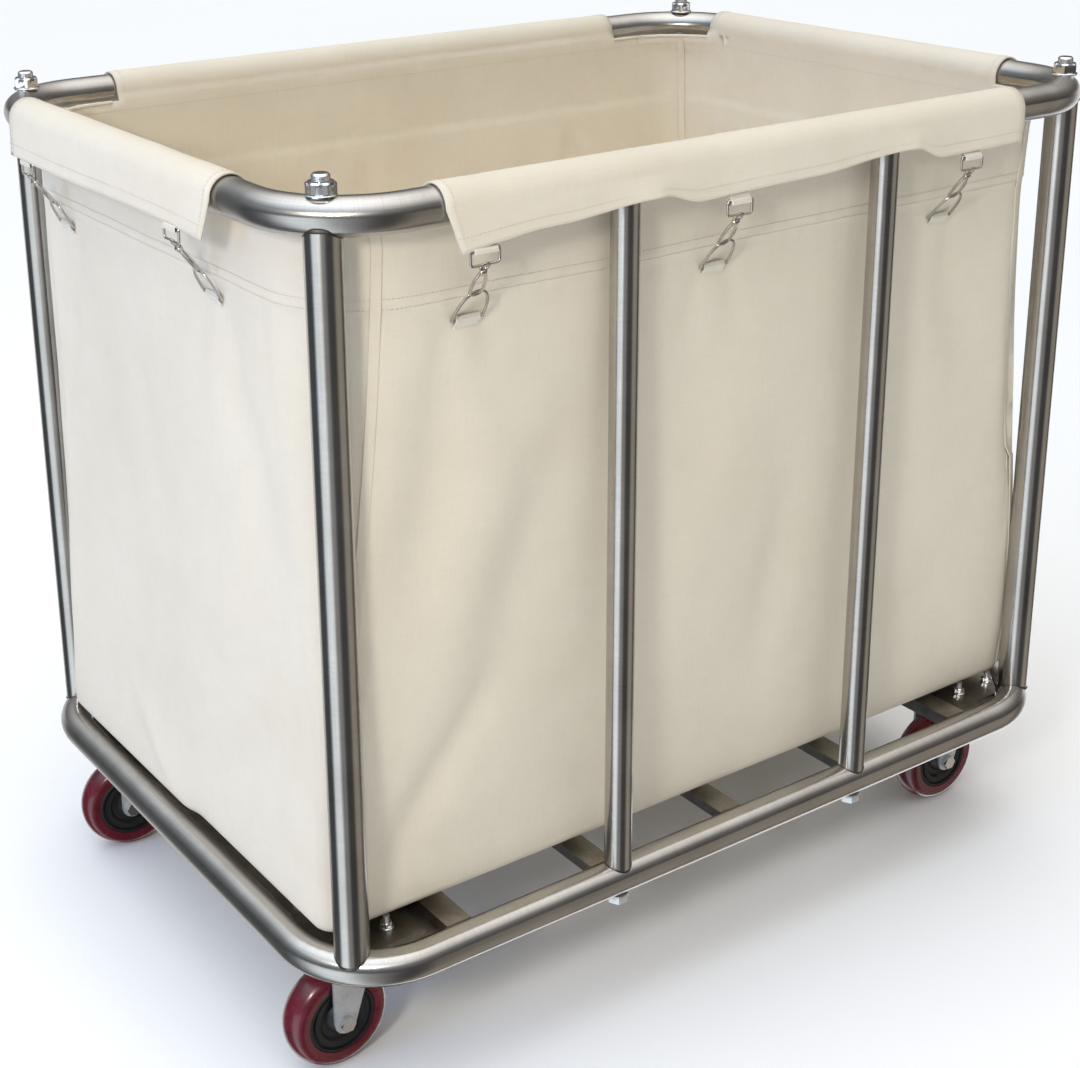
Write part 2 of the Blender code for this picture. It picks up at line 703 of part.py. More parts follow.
def main():
    for obj in list(bpy.data.objects):
        bpy.data.objects.remove(obj)
    make_rails()
    envelopes = rail_envelopes()
    make_posts(envelopes)
    make_cross_bars(envelopes)
    make_corner_plates()
    make_end_strips()
    make_studs()
    make_foot_bolts()
    make_casters()
    make_bag()
    make_hooks()


main()
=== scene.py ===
"""Looks of the laundry cart in the CAD's frame: canvas bag, hooks, steel tubes, casters, studio, camera."""
import math

import bmesh
import bpy
from mathutils import Matrix, Vector, noise


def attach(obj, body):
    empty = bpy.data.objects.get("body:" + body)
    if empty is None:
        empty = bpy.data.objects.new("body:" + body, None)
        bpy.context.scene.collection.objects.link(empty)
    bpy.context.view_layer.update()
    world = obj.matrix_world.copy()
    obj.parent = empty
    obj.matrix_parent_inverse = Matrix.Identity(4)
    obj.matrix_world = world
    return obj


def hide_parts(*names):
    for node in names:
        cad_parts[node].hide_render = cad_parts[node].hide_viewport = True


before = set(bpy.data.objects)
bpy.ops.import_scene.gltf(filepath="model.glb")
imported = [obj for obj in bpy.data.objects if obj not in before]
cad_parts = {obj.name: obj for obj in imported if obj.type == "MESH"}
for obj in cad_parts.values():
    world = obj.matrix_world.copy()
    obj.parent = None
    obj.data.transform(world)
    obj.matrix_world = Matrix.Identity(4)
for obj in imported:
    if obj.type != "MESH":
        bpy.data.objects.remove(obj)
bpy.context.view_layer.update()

# Sizes that the CAD model has too, in metres.
RAIL_R = 0.016
RAIL_X, RAIL_Y, BEND_R = 0.440, 0.310, 0.084
LOW_Z, TOP_Z = 0.142, 0.797
BEND_CX, BEND_CY = RAIL_X - BEND_R, RAIL_Y - BEND_R
SIDE_POST_R, SIDE_POST_X = 0.0125, 0.148
CORNER_POST_R = 0.0155
# Least height of a post's cut end above the rail's centreline.
COPE_LEAST = 0.0080
CORNER_X, CORNER_Y = (v - BEND_R * (1 - math.sqrt(0.5)) for v in (RAIL_X, RAIL_Y))
SWIVEL_X, SWIVEL_Y, TRAIL = 0.386, 0.219, 0.0125
WHEEL_R, HUB_R = 0.050, 0.0335
YAW = {"front_left": 0.0, "front_right": -1.0, "back_left": -9.0, "back_right": 6.0}
SIGNS = {"front_left": (-1, -1), "front_right": (1, -1), "back_left": (-1, 1), "back_right": (1, 1)}
PLATE_TOP_Z = 0.1457
PLATE_BOLT_X, PLATE_BOLT_Y = 0.022, 0.038
HOOKS = {"front": (-0.300, -0.042, 0.240), "back": (-0.300, -0.042, 0.240),
         "left": (-0.118, 0.185), "right": (-0.118, 0.185)}
HOOK_Z, HOOK_OUT, HOOK_LEAN = 0.7505, 0.0195, math.radians(40)
OUTWARD = {"front": Vector((0, -1, 0)), "back": Vector((0, 1, 0)),
           "left": Vector((-1, 0, 0)), "right": Vector((1, 0, 0))}
ALONG = {side: Vector((abs(n.y), abs(n.x), 0)) for side, n in OUTWARD.items()}
RAIL_AT = {"front": RAIL_Y, "back": RAIL_Y, "left": RAIL_X, "right": RAIL_X}

# The bag. CLOTH is the thickness shown, and the cut and area are those of the flat cloth.
CLOTH = 0.0016
BAG_TOP_Z, BAND_Z, BAG_LOW_Z = 0.789, 0.712, 0.1600
BAG_HALF_X, BAG_HALF_Y_LOW, BAG_HALF_Y_TOP = 0.4215, 0.2655, 0.2892
FOOT_R = 0.011
# Corner radii: at the foot, under each corner of the rail, and at the rail itself.
FOOT_CORNER_R, RAIL_CORNER_R = 0.022, 0.082
CORNER_ROUND = {(1, 1): 0.062, (-1, 1): 0.050, (-1, -1): 0.088, (1, -1): 0.086}
SIDE_CORNERS = {"right": ((1, -1), (1, 1)), "back": ((1, 1), (-1, 1)),
                "left": ((-1, 1), (-1, -1)), "front": ((-1, -1), (1, -1))}
LONG_COLS, SHORT_COLS, CORNER_COLS = 96, 58, 16
FLOOR_RINGS, WALL_ROWS = 14, 72

# The flaps: radius over the rail, where each begins and ends, and the height of the hem.
FLAP_R = 0.0174
FLAPS = {"front": (-0.340, 0.313), "back": (-0.323, 0.316), "left": (-0.187, 0.228), "right": (-0.198, 0.238)}
FLAP_STEPS, HANG_STEPS = 20, 9
HEM_Z = 0.7635
# How far the long sides' hems stand above HEM_Z: (place along the side, rise).
HEM_RISE = ((-0.345, -0.002), (-0.235, 0.008), (-0.128, 0.0165), (-0.085, 0.0055),
            (0.040, 0.0085), (0.160, 0.0165), (0.200, 0.004), (0.345, 0.006))

# The D-rings on the bag, and how far along they sit from their hooks.
DEE_Z, DEE_SHIFT = 0.6955, 0.010
STITCH_LENGTH, STITCH_GAP, STITCH_R = 0.0026, 0.0012, 0.00034

# Camera.
CAMERA_AT = (-1.0863, -1.4698, 1.1305)
HEADING, PITCH, ROLL = 0.9751, 0.3262, -0.015
LENS, SHIFT_X, SHIFT_Y = 62.86, 0.0626, -0.1473

# The sky's light by height and by side, from left to right.
SKY_LEVELS = ((0.0, 0.07), (0.15, 0.12), (0.50, 0.30), (1.0, 2.20))
SKY_SIDES = ((0.0, (1.25, 1.45, 1.65)), (0.5, (1.0, 1.0, 1.0)), (1.0, (0.80, 0.76, 0.70)))
# What the steel mirrors below the horizon, where the floor lets mirror rays through:
# heading and half width in degrees, and colour.
REFLECTED = ((194, 21, (1.25, 1.36, 1.45)), (232, 16, (0.26, 0.255, 0.25)), (318, 20, (0.38, 0.34, 0.29)),
             (20, 14, (1.5, 1.5, 1.5)), (92, 16, (0.9, 0.9, 0.9)))

# Soft folds in each side: two ends as (place along the side, height), half width, and depth (in is negative).
CREASES = {
    "front": (
        ((-0.293, 0.67), (-0.345, 0.47), 0.026, -0.0042), ((-0.372, 0.2), (-0.262, 0.355), 0.02, -0.0052),
        ((-0.262, 0.355), (-0.2, 0.56), 0.032, -0.0034), ((-0.33, 0.34), (-0.24, 0.6), 0.036, 0.0036),
        ((0.078, 0.46), (0.052, 0.26), 0.024, -0.003), ((-0.04, 0.67), (-0.036, 0.5), 0.03, -0.0026),
        ((0.02, 0.62), (-0.08, 0.3), 0.05, 0.0028), ((0.25, 0.66), (0.33, 0.52), 0.026, -0.003),
        ((0.39, 0.64), (0.395, 0.42), 0.016, -0.0034), ((0.21, 0.4), (0.31, 0.22), 0.04, 0.0026),
    ),
    "left": (
        ((-0.15, 0.56), (-0.08, 0.38), 0.016, 0.0026), ((-0.112, 0.68), (-0.19, 0.48), 0.03, -0.0036),
        ((0.06, 0.62), (0.02, 0.36), 0.034, -0.0034), ((0.19, 0.68), (0.235, 0.5), 0.02, -0.004),
        ((-0.21, 0.33), (-0.06, 0.23), 0.026, -0.003), ((0.1, 0.24), (0.015, 0.18), 0.014, 0.0034),
        ((0.24, 0.4), (0.245, 0.2), 0.014, 0.003),
    ),
    "back": (
        ((0.293, 0.67), (0.35, 0.45), 0.028, -0.0042), ((0.37, 0.21), (0.23, 0.4), 0.024, -0.0046),
        ((-0.07, 0.64), (-0.12, 0.33), 0.036, -0.0032), ((-0.3, 0.62), (-0.22, 0.3), 0.044, 0.0034),
        ((0.06, 0.5), (0.1, 0.23), 0.032, 0.003),
    ),
    "right": (
        ((0.185, 0.67), (0.12, 0.44), 0.026, -0.004), ((-0.118, 0.66), (-0.06, 0.4), 0.034, -0.0034),
        ((-0.21, 0.3), (-0.08, 0.22), 0.026, -0.0036), ((0.04, 0.52), (0.09, 0.26), 0.036, 0.003),
    ),
}


# ---- materials

class Nodes:
    """Short names for the nodes of one tree."""

    def __init__(self, tree):
        self.tree = tree

    def node(self, kind, **values):
        made = self.tree.nodes.new("ShaderNode" + kind)
        for key, value in values.items():
            setattr(made, key, value)
        return made

    def put(self, target, value):
        if isinstance(value, bpy.types.NodeSocket):
            self.tree.links.new(value, target)
        else:
            target.default_value = value

    def place(self, kind="Object"):
        return self.node("TexCoord").outputs[kind]

    def scaled(self, vector, scale):
        mapping = self.node("Mapping")
        self.put(mapping.inputs["Vector"], vector)
        mapping.inputs["Scale"].default_value = scale
        return mapping.outputs["Vector"]

    def noise(self, vector, scale, detail=3.0, rough=0.5, bend=0.0):
        made = self.node("TexNoise")
        self.put(made.inputs["Vector"], vector)
        made.inputs["Scale"].default_value = scale
        made.inputs["Detail"].default_value = detail
        made.inputs["Roughness"].default_value = rough
        made.inputs["Distortion"].default_value = bend
        return made.outputs["Fac"]

    def ramp(self, value, *stops):
        made = self.node("ValToRGB")
        self.put(made.inputs["Fac"], value)
        elements = made.color_ramp.elements
        while len(elements) < len(stops):
            elements.new(0.5)
        for element, (at, colour) in zip(elements, stops):
            element.position = at
            element.color = (*colour, 1.0) if isinstance(colour, tuple) else (colour, colour, colour, 1.0)
        return made.outputs["Color"]

    def math(self, kind, a, b=0.0, c=0.0):
        made = self.node("Math", operation=kind)
        for target, value in zip(made.inputs, (a, b, c)):
            self.put(target, value)
        return made.outputs["Value"]

    def mix(self, fac, a, b, blend="MIX"):
        made = self.node("Mix", data_type="RGBA", blend_type=blend)
        self.put(made.inputs["Factor"], fac)
        for target, value in ((made.inputs[6], a), (made.inputs[7], b)):
            self.put(target, (*value, 1.0) if isinstance(value, tuple) and len(value) == 3 else value)
        return made.outputs[2]

    def bump(self, height, distance, strength=1.0, under=None):
        made = self.node("Bump")
        self.put(made.inputs["Height"], height)
        made.inputs["Distance"].default_value = distance
        made.inputs["Strength"].default_value = strength
        if under is not None:
            self.put(made.inputs["Normal"], under)
        return made.outputs["Normal"]

    def vector(self, kind, a, b=None, scale=None, out="Vector"):
        made = self.node("VectorMath", operation=kind)
        for key, value in ((0, a), (1, b), ("Scale", scale)):
            if value is not None:
                self.put(made.inputs[key], value)
        return made.outputs[out]

    def soft_step(self, value, start, end, low=0.0, high=1.0):
        made = self.node("MapRange", interpolation_type="SMOOTHSTEP")
        keys = ("Value", "From Min", "From Max", "To Min", "To Max")
        for key, number in zip(keys, (value, start, end, low, high)):
            self.put(made.inputs[key], number)
        return made.outputs["Result"]


class Look(Nodes):
    """A material round one Principled shader. Extra arguments are the shader's sockets."""

    def __init__(self, name, roughness, metallic=0.0, **sockets):
        self.made = bpy.data.materials.new(name)
        self.made.use_nodes = True
        super().__init__(self.made.node_tree)
        self.shader = self.tree.nodes["Principled BSDF"]
        self.shader.inputs["Roughness"].default_value = roughness
        self.shader.inputs["Metallic"].default_value = metallic
        for key, value in sockets.items():
            self.shader.inputs[key.replace("_", " ")].default_value = value

    def finish(self, colour=None, roughness=None, normal=None):
        for key, value in (("Base Color", colour), ("Roughness", roughness), ("Normal", normal)):
            if value is not None:
                self.put(self.shader.inputs[key], value)
        return self.made


def canvas_material(name, light, dark, pitch=0.0011):
    """Plain-weave cotton canvas: threads crossing over and under, slubs and faint mottling."""
    n = Look(name, 0.9, Sheen_Weight=0.12, Sheen_Roughness=0.6)
    where = n.place("UV")
    split = n.node("SeparateXYZ")
    n.put(split.inputs[0], where)
    waves = [n.math("SINE", n.math("MULTIPLY", split.outputs[axis], 2 * math.pi / pitch)) for axis in (0, 1)]
    weave = n.math("MULTIPLY", waves[0], waves[1])
    slubs = [n.noise(n.scaled(where, scale), 1.0, 2) for scale in ((40, 900, 1), (900, 40, 1))]
    slub = n.math("ADD", *slubs)
    mottle = n.noise(n.place(), 5.5, 5, 0.6)
    grime = n.noise(n.place(), 26, 4, 0.65)
    colour = n.mix(n.ramp(mottle, (0.30, 0.0), (0.72, 1.0)), dark, light)
    colour = n.mix(n.ramp(grime, (0.35, 0.10), (0.65, 0.0)), colour, tuple(v * 0.86 for v in dark))
    colour = n.mix(n.ramp(slub, (0.75, 0.16), (1.2, 0.0)), colour, tuple(v * 0.8 for v in dark))
    height = n.math("MULTIPLY_ADD", weave, 0.5, n.math("MULTIPLY", slub, 0.6))
    crease = n.noise(n.scaled(n.place(), (1, 1, 0.55)), 17, 4, 0.55, 0.6)
    normal = n.bump(height, 0.00018, 0.55, n.bump(crease, 0.0022, 0.35))
    return n.finish(colour, n.ramp(grime, (0.3, 0.95), (0.7, 0.82)), normal)


def tube_material(name, light, dark, rough):
    """Stainless tube whose highlights run along it. UV is (along, around) in metres."""
    n = Look(name, rough, 1.0, Anisotropic=0.80)
    along = n.node("Tangent", direction_type="UV_MAP", uv_map="UVMap")
    n.put(n.shader.inputs["Tangent"], along.outputs["Tangent"])
    where = n.place("UV")
    lines = n.noise(n.scaled(where, (14, 2200, 1)), 1.0, 4, 0.7)
    around = n.noise(n.scaled(where, (1400, 30, 1)), 1.0, 3, 0.6)
    patch = n.noise(n.place(), 11, 4, 0.6)
    colour = n.mix(n.ramp(patch, (0.3, 0.0), (0.7, 1.0)), dark, light)
    colour = n.mix(n.ramp(lines, (0.3, 0.35), (0.62, 0.0)), colour, tuple(v * 0.7 for v in dark))
    colour = n.mix(n.ramp(around, (0.3, 0.25), (0.6, 0.0)), colour, tuple(v * 0.75 for v in dark))
    smear = n.math("MULTIPLY_ADD", patch, 0.12, rough - 0.06)
    return n.finish(colour, smear, n.bump(lines, 0.00005, 0.3, n.bump(around, 0.00004, 0.2)))


def metal_material(name, light, dark, rough, grain=260, depth=0.00008, spots=0.25, metallic=1.0, **sockets):
    """Plate, plated steel or moulded plastic without UVs: mottling, fine grain and dull spots."""
    n = Look(name, rough, metallic, **sockets)
    where = n.place()
    patch = n.noise(where, 38, 5, 0.62)
    fine = n.noise(where, grain, 4, 0.6)
    colour = n.mix(n.ramp(patch, (0.32, 0.0), (0.68, 1.0)), dark, light)
    colour = n.mix(n.ramp(fine, (0.28, spots), (0.5, 0.0)), colour, tuple(v * 0.6 for v in dark))
    roughness = n.math("MULTIPLY_ADD", patch, 0.22, max(0.02, rough - 0.11))
    return n.finish(colour, roughness, n.bump(fine, depth, 0.5))


def thread_material(name, colour):
    n = Look(name, 0.8, Sheen_Weight=0.2)
    twist = n.noise(n.place(), 2400, 2)
    shade = n.mix(n.ramp(twist, (0.35, 0.0), (0.65, 1.0)), tuple(v * 0.75 for v in colour), colour)
    return n.finish(shade, None, n.bump(twist, 0.0001, 0.6))


def webbing_material():
    """Ribbed cotton tape."""
    n = Look("webbing", 0.88, Sheen_Weight=0.15)
    where = n.place()
    ribs = n.node("TexWave", bands_direction="Z")
    n.put(ribs.inputs["Vector"], where)
    ribs.inputs["Scale"].default_value = 260
    ribs.inputs["Distortion"].default_value = 0.6
    fine = n.noise(where, 900, 3)
    colour = n.mix(ribs.outputs["Fac"], (0.60, 0.55, 0.45), (0.76, 0.72, 0.62))
    height = n.math("MULTIPLY_ADD", fine, 0.4, ribs.outputs["Fac"])
    return n.finish(colour, None, n.bump(height, 0.0003, 0.7))


def floor_material():
    n = Look("studio_floor", 0.8)
    soft = n.noise(n.place(), 0.8, 3)
    pale = n.mix(soft, (0.88, 0.88, 0.88), (0.91, 0.91, 0.91))
    return n.finish(pale, None, n.bump(n.noise(n.place(), 60, 3), 0.0004, 0.2))


CANVAS = canvas_material("cream_canvas", (0.745, 0.682, 0.556), (0.690, 0.618, 0.488))
STEEL = tube_material("stainless_tube", (0.60, 0.58, 0.555), (0.46, 0.44, 0.415), 0.25)
PLATE = metal_material("stainless_plate", (0.40, 0.37, 0.33), (0.26, 0.235, 0.205), 0.32, 300, 0.00006)
# The weld colour is near black: partly a dull, heat-tinted weld and partly painted shade, standing in for the
# dark occlusion line where each post meets a rail.
WELD_AND_JOINT_SHADE = metal_material("weld", (0.20, 0.18, 0.16), (0.08, 0.07, 0.06), 0.42, 700, 0.0003, 0.5)
CHROME = metal_material("chrome", (0.86, 0.86, 0.87), (0.74, 0.74, 0.76), 0.12, 420, 0.00004, 0.15)
ZINC = metal_material("zinc_plate", (0.74, 0.76, 0.77), (0.58, 0.60, 0.62), 0.36, 240, 0.0001, 0.3, 0.65)
NICKEL = metal_material("nickel_wire", (0.74, 0.71, 0.66), (0.50, 0.47, 0.43), 0.20, 900, 0.00005, 0.35)
TYRE = metal_material("maroon_tyre", (0.150, 0.010, 0.022), (0.085, 0.005, 0.011), 0.26, 150, 0.0001, 0.2,
                      0.0, Coat_Weight=0.35, Coat_Roughness=0.12)
HUB = metal_material("black_hub", (0.018, 0.018, 0.019), (0.007, 0.007, 0.008), 0.5, 180, 0.0004, 0.3, 0.0)
WEBBING = webbing_material()
THREAD = thread_material("thread", (0.66, 0.60, 0.50))


# ---- mesh helpers

def surface(name, rows, us=None, vs=None, closed_rows=False, closed_cols=False, caps=False):
    """A mesh over rows of points. us run along a row and vs across the rows, both in metres."""
    count, width = len(rows), len(rows[0])
    points = [point for row in rows for point in row]
    faces = []
    coords = []
    us = us or [0.01 * c for c in range(width + 1)]
    vs = vs or [0.01 * r for r in range(count + 1)]
    for r in range(count if closed_rows else count - 1):
        for c in range(width if closed_cols else width - 1):
            r2, c2 = (r + 1) % count, (c + 1) % width
            faces.append((r * width + c, r * width + c2, r2 * width + c2, r2 * width + c))
            coords += [(vs[r], us[c]), (vs[r], us[c + 1]), (vs[r + 1], us[c + 1]), (vs[r + 1], us[c])]
    if caps:
        for r in (0, count - 1):
            loop = list(range(r * width, (r + 1) * width))
            faces.append(tuple(loop if r else loop[::-1]))
            coords += [(0.0, 0.0)] * width
    mesh = bpy.data.meshes.new(name)
    mesh.from_pydata(points, [], faces)
    layer = mesh.uv_layers.new(name="UVMap")
    for loop, uv in zip(layer.data, coords):
        loop.uv = uv
    return mesh


def joined(name, meshes):
    """One mesh out of several."""
    points, faces, coords = [], [], []
    for mesh in meshes:
        start = len(points)
        points += [v.co.copy() for v in mesh.vertices]
        faces += [tuple(start + i for i in face.vertices) for face in mesh.polygons]
        coords += [tuple(loop.uv) for loop in mesh.uv_layers[0].data]
        bpy.data.meshes.remove(mesh)
    whole = bpy.data.meshes.new(name)
    whole.from_pydata(points, [], faces)
    layer = whole.uv_layers.new(name="UVMap")
    for loop, uv in zip(layer.data, coords):
        loop.uv = uv
    return whole


def piece(name, mesh, material, body, stands_for=(), sharp=35, matrix=None):
    mesh.shade_smooth()
    mesh.set_sharp_from_angle(angle=math.radians(sharp))
    mesh.materials.append(material)
    made = bpy.data.objects.new(name, mesh)
    bpy.context.scene.collection.objects.link(made)
    if matrix is not None:
        made.matrix_world = matrix
    bpy.context.view_layer.update()
    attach(made, body)
    if stands_for:
        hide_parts(*stands_for)
    return made


def sweep(name, path, radius, sides=12, closed=False, up=Vector((0, 0, 1))):
    """A round bar along a path. radius is one number, or one for each point."""
    count = len(path)
    rows, along = [], [0.0]
    for i, point in enumerate(path):
        before = path[i - 1] if closed or i else point
        after = path[(i + 1) % count] if closed or i < count - 1 else point
        ahead = (after - before).normalized()
        side = ahead.cross(up)
        side = side.normalized() if side.length > 1e-6 else Vector((1, 0, 0))
        top = side.cross(ahead)
        r = radius[i] if isinstance(radius, (list, tuple)) else radius
        rows.append([point + r * (math.cos(a) * side + math.sin(a) * top)
                     for a in (2 * math.pi * k / sides for k in range(sides))])
        along.append(along[-1] + (path[(i + 1) % count] - point).length)
    r = radius[0] if isinstance(radius, (list, tuple)) else radius
    us = [2 * math.pi * r * k / sides for k in range(sides + 1)]
    return surface(name, rows, us, along, closed_rows=closed, closed_cols=True, caps=not closed)


def lathe(name, profile, sides, axis="Z", closed=False):
    """Turns (along, radius) points round an axis."""
    rows = []
    for along, radius in profile:
        row = []
        for k in range(sides):
            a = 2 * math.pi * k / sides
            c, s = radius * math.cos(a), radius * math.sin(a)
            row.append(Vector((c, s, along)) if axis == "Z" else Vector((s, along, c)))
        rows.append(row)
    us = [0.03 * k / sides for k in range(sides + 1)]
    return surface(name, rows, us, None, closed, True, caps=not closed)


def loop_path(half_x, half_y, radius, z, steps=14, straight=18):
    """A rounded rectangle as points, anticlockwise from above, starting on +X."""
    corners = ((1, 1), (-1, 1), (-1, -1), (1, -1))

    def on_bend(k, turned):
        sx, sy = corners[k % 4]
        a = (k + turned) * math.pi / 2
        centre = Vector((sx * (half_x - radius), sy * (half_y - radius), z))
        return centre + radius * Vector((math.cos(a), math.sin(a), 0))

    points = []
    for k in range(4):
        points += [on_bend(k, step / steps) for step in range(steps + 1)]
        start, end = points[-1], on_bend(k + 1, 0)
        points += [start.lerp(end, step / straight) for step in range(1, straight)]
    return points


# ---- steel frame

def rail_offset(point):
    """Distance in plan from the rails' centreline, for a point near a bend or a long side."""
    x, y = abs(point.x), abs(point.y)
    if x > BEND_CX and y > BEND_CY:
        return abs(math.hypot(x - BEND_CX, y - BEND_CY) - BEND_R)
    return abs(y - RAIL_Y) if y > BEND_CY else abs(x - RAIL_X)


def coped_post(name, x, y, radius, sides=48):
    """A post whose ends are cut to sit on the rails, and the two weld lines round those ends."""
    rows = [[], [], [], []]
    for k in range(sides):
        a = 2 * math.pi * k / sides
        point = Vector((x + radius * math.cos(a), y + radius * math.sin(a), 0))
        natural = math.sqrt(max(0.0, RAIL_R ** 2 - rail_offset(point) ** 2))
        rise = (natural ** 6 + COPE_LEAST ** 6) ** (1 / 6) + 0.0002
        for row, z in zip(rows, (LOW_Z + rise, LOW_Z + 0.03, TOP_Z - 0.03, TOP_Z - rise)):
            row.append(Vector((point.x, point.y, z)))
    us = [2 * math.pi * radius * k / sides for k in range(sides + 1)]
    post = surface(name, rows, us, [0, 0.03, 0.625, 0.655, 0.66], closed_cols=True)
    beads = []
    for row in (rows[0], rows[3]):
        axis = Vector((x, y, 0))
        centre = [p + (axis - Vector((p.x, p.y, 0))) * 0.05 for p in row]
        wobble = [0.0010 + 0.0010 * (rail_offset(p) / RAIL_R) ** 4 + 0.0003 * noise.noise(p * 260)
                  for p in row]
        beads.append(sweep(name + "_weld", centre, wobble, 6, closed=True))
    return post, beads


def make_frame():
    for name, z in (("top_rail", TOP_Z), ("bottom_rail", LOW_Z)):
        tube = sweep(name, loop_path(RAIL_X, RAIL_Y, BEND_R, z), RAIL_R, 48, closed=True)
        piece(name + "_tube", tube, STEEL, "frame", [name])
    beads = []
    for where, (sx, sy) in SIGNS.items():
        for kind, x, y, radius in (("corner_post", CORNER_X, CORNER_Y, CORNER_POST_R),
                                   ("side_post", SIDE_POST_X, RAIL_Y, SIDE_POST_R)):
            post, welds = coped_post(f"{kind}_{where}", sx * x, sy * y, radius)
            piece(f"{kind}_tube_{where}", post, STEEL, "frame", [f"{kind}_{where}"])
            beads += welds
    # The weld beads carry painted shade: their near-black colour paints the shade in the joint between post
    # and rail, as well as the weld itself.
    piece("post_welds", joined("post_welds", beads), WELD_AND_JOINT_SHADE, "frame")
    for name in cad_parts:
        if name.startswith(("cross_bar", "corner_plate", "end_strip")):
            dress(name, PLATE, 0.0012)


def dress(node, material, bevel):
    """Gives a CAD node its material and rounds its edges a little."""
    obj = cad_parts[node]
    obj.data.materials.clear()
    obj.data.materials.append(material)
    rounded = obj.modifiers.new("edges", "BEVEL")
    rounded.width = bevel
    rounded.segments = 2
    rounded.limit_method = "ANGLE"
    rounded.angle_limit = math.radians(40)


def hex_nut(name, corner, height, hole, z=0.0):
    """A hexagon nut with its corners turned off at both faces."""
    flat = corner * math.cos(math.pi / 6)
    levels = ((0.0, flat * 0.96, True), (height * 0.10, corner, False), (height * 0.86, corner, False),
              (height, flat * 0.95, True), (height, hole, True), (height * 0.8, hole, True))
    rows = []
    for level, radius, is_round in levels:
        row = []
        for k in range(36):
            a = 2 * math.pi * k / 36
            hexagon = flat / math.cos((a % (math.pi / 3)) - math.pi / 6)
            reach = radius if is_round else min(radius, hexagon)
            row.append(Vector((reach * math.cos(a), reach * math.sin(a), z + level)))
        rows.append(row)
    return surface(name, rows, closed_cols=True, caps=True)


def threaded(name, radius, low, high, pitch=0.0012):
    profile = []
    turns = max(2, int((high - low) / pitch))
    for k in range(turns):
        z = low + (high - low - 0.0012) * k / turns
        profile += [(z, radius * 0.90), (z + pitch * 0.45, radius)]
    return lathe(name, profile + [(high - 0.0008, radius * 0.92), (high, radius * 0.78)], 28)


def make_fasteners():
    """Nuts and stud ends on the top rail, nuts on the caster plates, and the bolts under the side posts."""
    for where, (sx, sy) in SIGNS.items():
        parts = [lathe("washer", [(0, 0.0122), (0.0012, 0.0124), (0.0017, 0.0118)], 36),
                 hex_nut("nut", 0.0121, 0.0098, 0.0070, 0.0015), threaded("stud", 0.0074, 0.008, 0.0172)]
        seat = TOP_Z + RAIL_R - 0.0004
        turn = Matrix.Rotation(math.atan2(sy * CORNER_Y, sx * CORNER_X) + 0.2 * sx, 4, "Z")
        place = Matrix.Translation((sx * CORNER_X, sy * CORNER_Y, seat)) @ turn
        piece(f"top_stud_{where}", joined("top_stud", parts), CHROME, "frame",
              [f"stud_nut_{where}"], 30, place)
        nuts = []
        for bx in (-PLATE_BOLT_X, PLATE_BOLT_X):
            for by in (-PLATE_BOLT_Y, PLATE_BOLT_Y):
                at = Matrix.Translation((sx * SWIVEL_X + bx, sy * SWIVEL_Y + by, PLATE_TOP_Z))
                parts = (lathe("washer", [(0, 0.0066), (0.0006, 0.0068), (0.0010, 0.0064)], 28),
                         hex_nut("nut", 0.0058, 0.0050, 0.0030, 0.0008),
                         threaded("end", 0.0030, 0.004, 0.0118, 0.001))
                for made in parts:
                    made.transform(at)
                    nuts.append(made)
        piece(f"plate_nuts_{where}", joined("plate_nuts", nuts), CHROME, "frame", sharp=30)
        dress(f"foot_bolt_{where}", ZINC, 0.0005)


# ---- casters

# Outlines as (along the axle, radius), for the half on one side of the wheel.
HUB_HALF = [(0.0145, HUB_R - 0.0003), (0.0152, HUB_R - 0.0012), (0.0152, HUB_R - 0.0030),
            (0.0128, HUB_R - 0.0036), (0.0128, HUB_R - 0.0052), (0.0146, HUB_R - 0.0058), (0.0140, 0.0225),
            (0.0110, 0.0205), (0.0108, 0.0150), (0.0150, 0.0125), (0.0172, 0.0110), (0.0172, 0.0044)]
TYRE_HALF_WIDTH, TYRE_CROWN, TYRE_BEAD, TREAD_STEPS = 0.0160, 0.0105, 0.0150, 24


def make_casters():
    tread = []
    for k in range(TREAD_STEPS + 1):
        a = math.radians(-90 + 180 * k / TREAD_STEPS)
        tread.append((TYRE_HALF_WIDTH * math.sin(a), WHEEL_R - TYRE_CROWN * (1 - math.cos(a))))
    tyre = [(-TYRE_BEAD, HUB_R)] + tread + [(TYRE_BEAD, HUB_R)]
    hub = HUB_HALF + [(-along, radius) for along, radius in reversed(HUB_HALF)]
    for where, (sx, sy) in SIGNS.items():
        dress(f"caster_top_plate_{where}", ZINC, 0.0006)
        dress(f"caster_fork_{where}", ZINC, 0.0008)
        dress(f"caster_axle_bolt_{where}", CHROME, 0.0007)
        yaw = math.radians(YAW[where])
        swivel = Vector((sx * SWIVEL_X, sy * SWIVEL_Y, WHEEL_R))
        centre = swivel - TRAIL * Vector((math.cos(yaw), math.sin(yaw), 0))
        place = Matrix.Translation(centre) @ Matrix.Rotation(yaw, 4, "Z")
        piece(f"tyre_{where}", lathe("tyre", tyre, 96, "Y", closed=True), TYRE, f"wheel_{where}",
              [f"caster_tyre_{where}"], 50, place)
        piece(f"hub_{where}", lathe("hub", hub, 72, "Y", closed=True), HUB, f"wheel_{where}",
              [f"caster_hub_{where}"], 28, place)


# ---- canvas bag

def lerp(a, b, t):
    return a + (b - a) * t


def smooth(t):
    t = min(1.0, max(0.0, t))
    return t * t * (3 - 2 * t)


def bag_size(z):
    """Half-length and half-width of the bag at a height, and how far its corners have opened there."""
    t = min(1.0, max(0.0, (z - BAG_LOW_Z) / (BAG_TOP_Z - BAG_LOW_Z)))
    return BAG_HALF_X, lerp(BAG_HALF_Y_LOW, BAG_HALF_Y_TOP, t ** 0.9), smooth(t * 1.1 - 0.1)


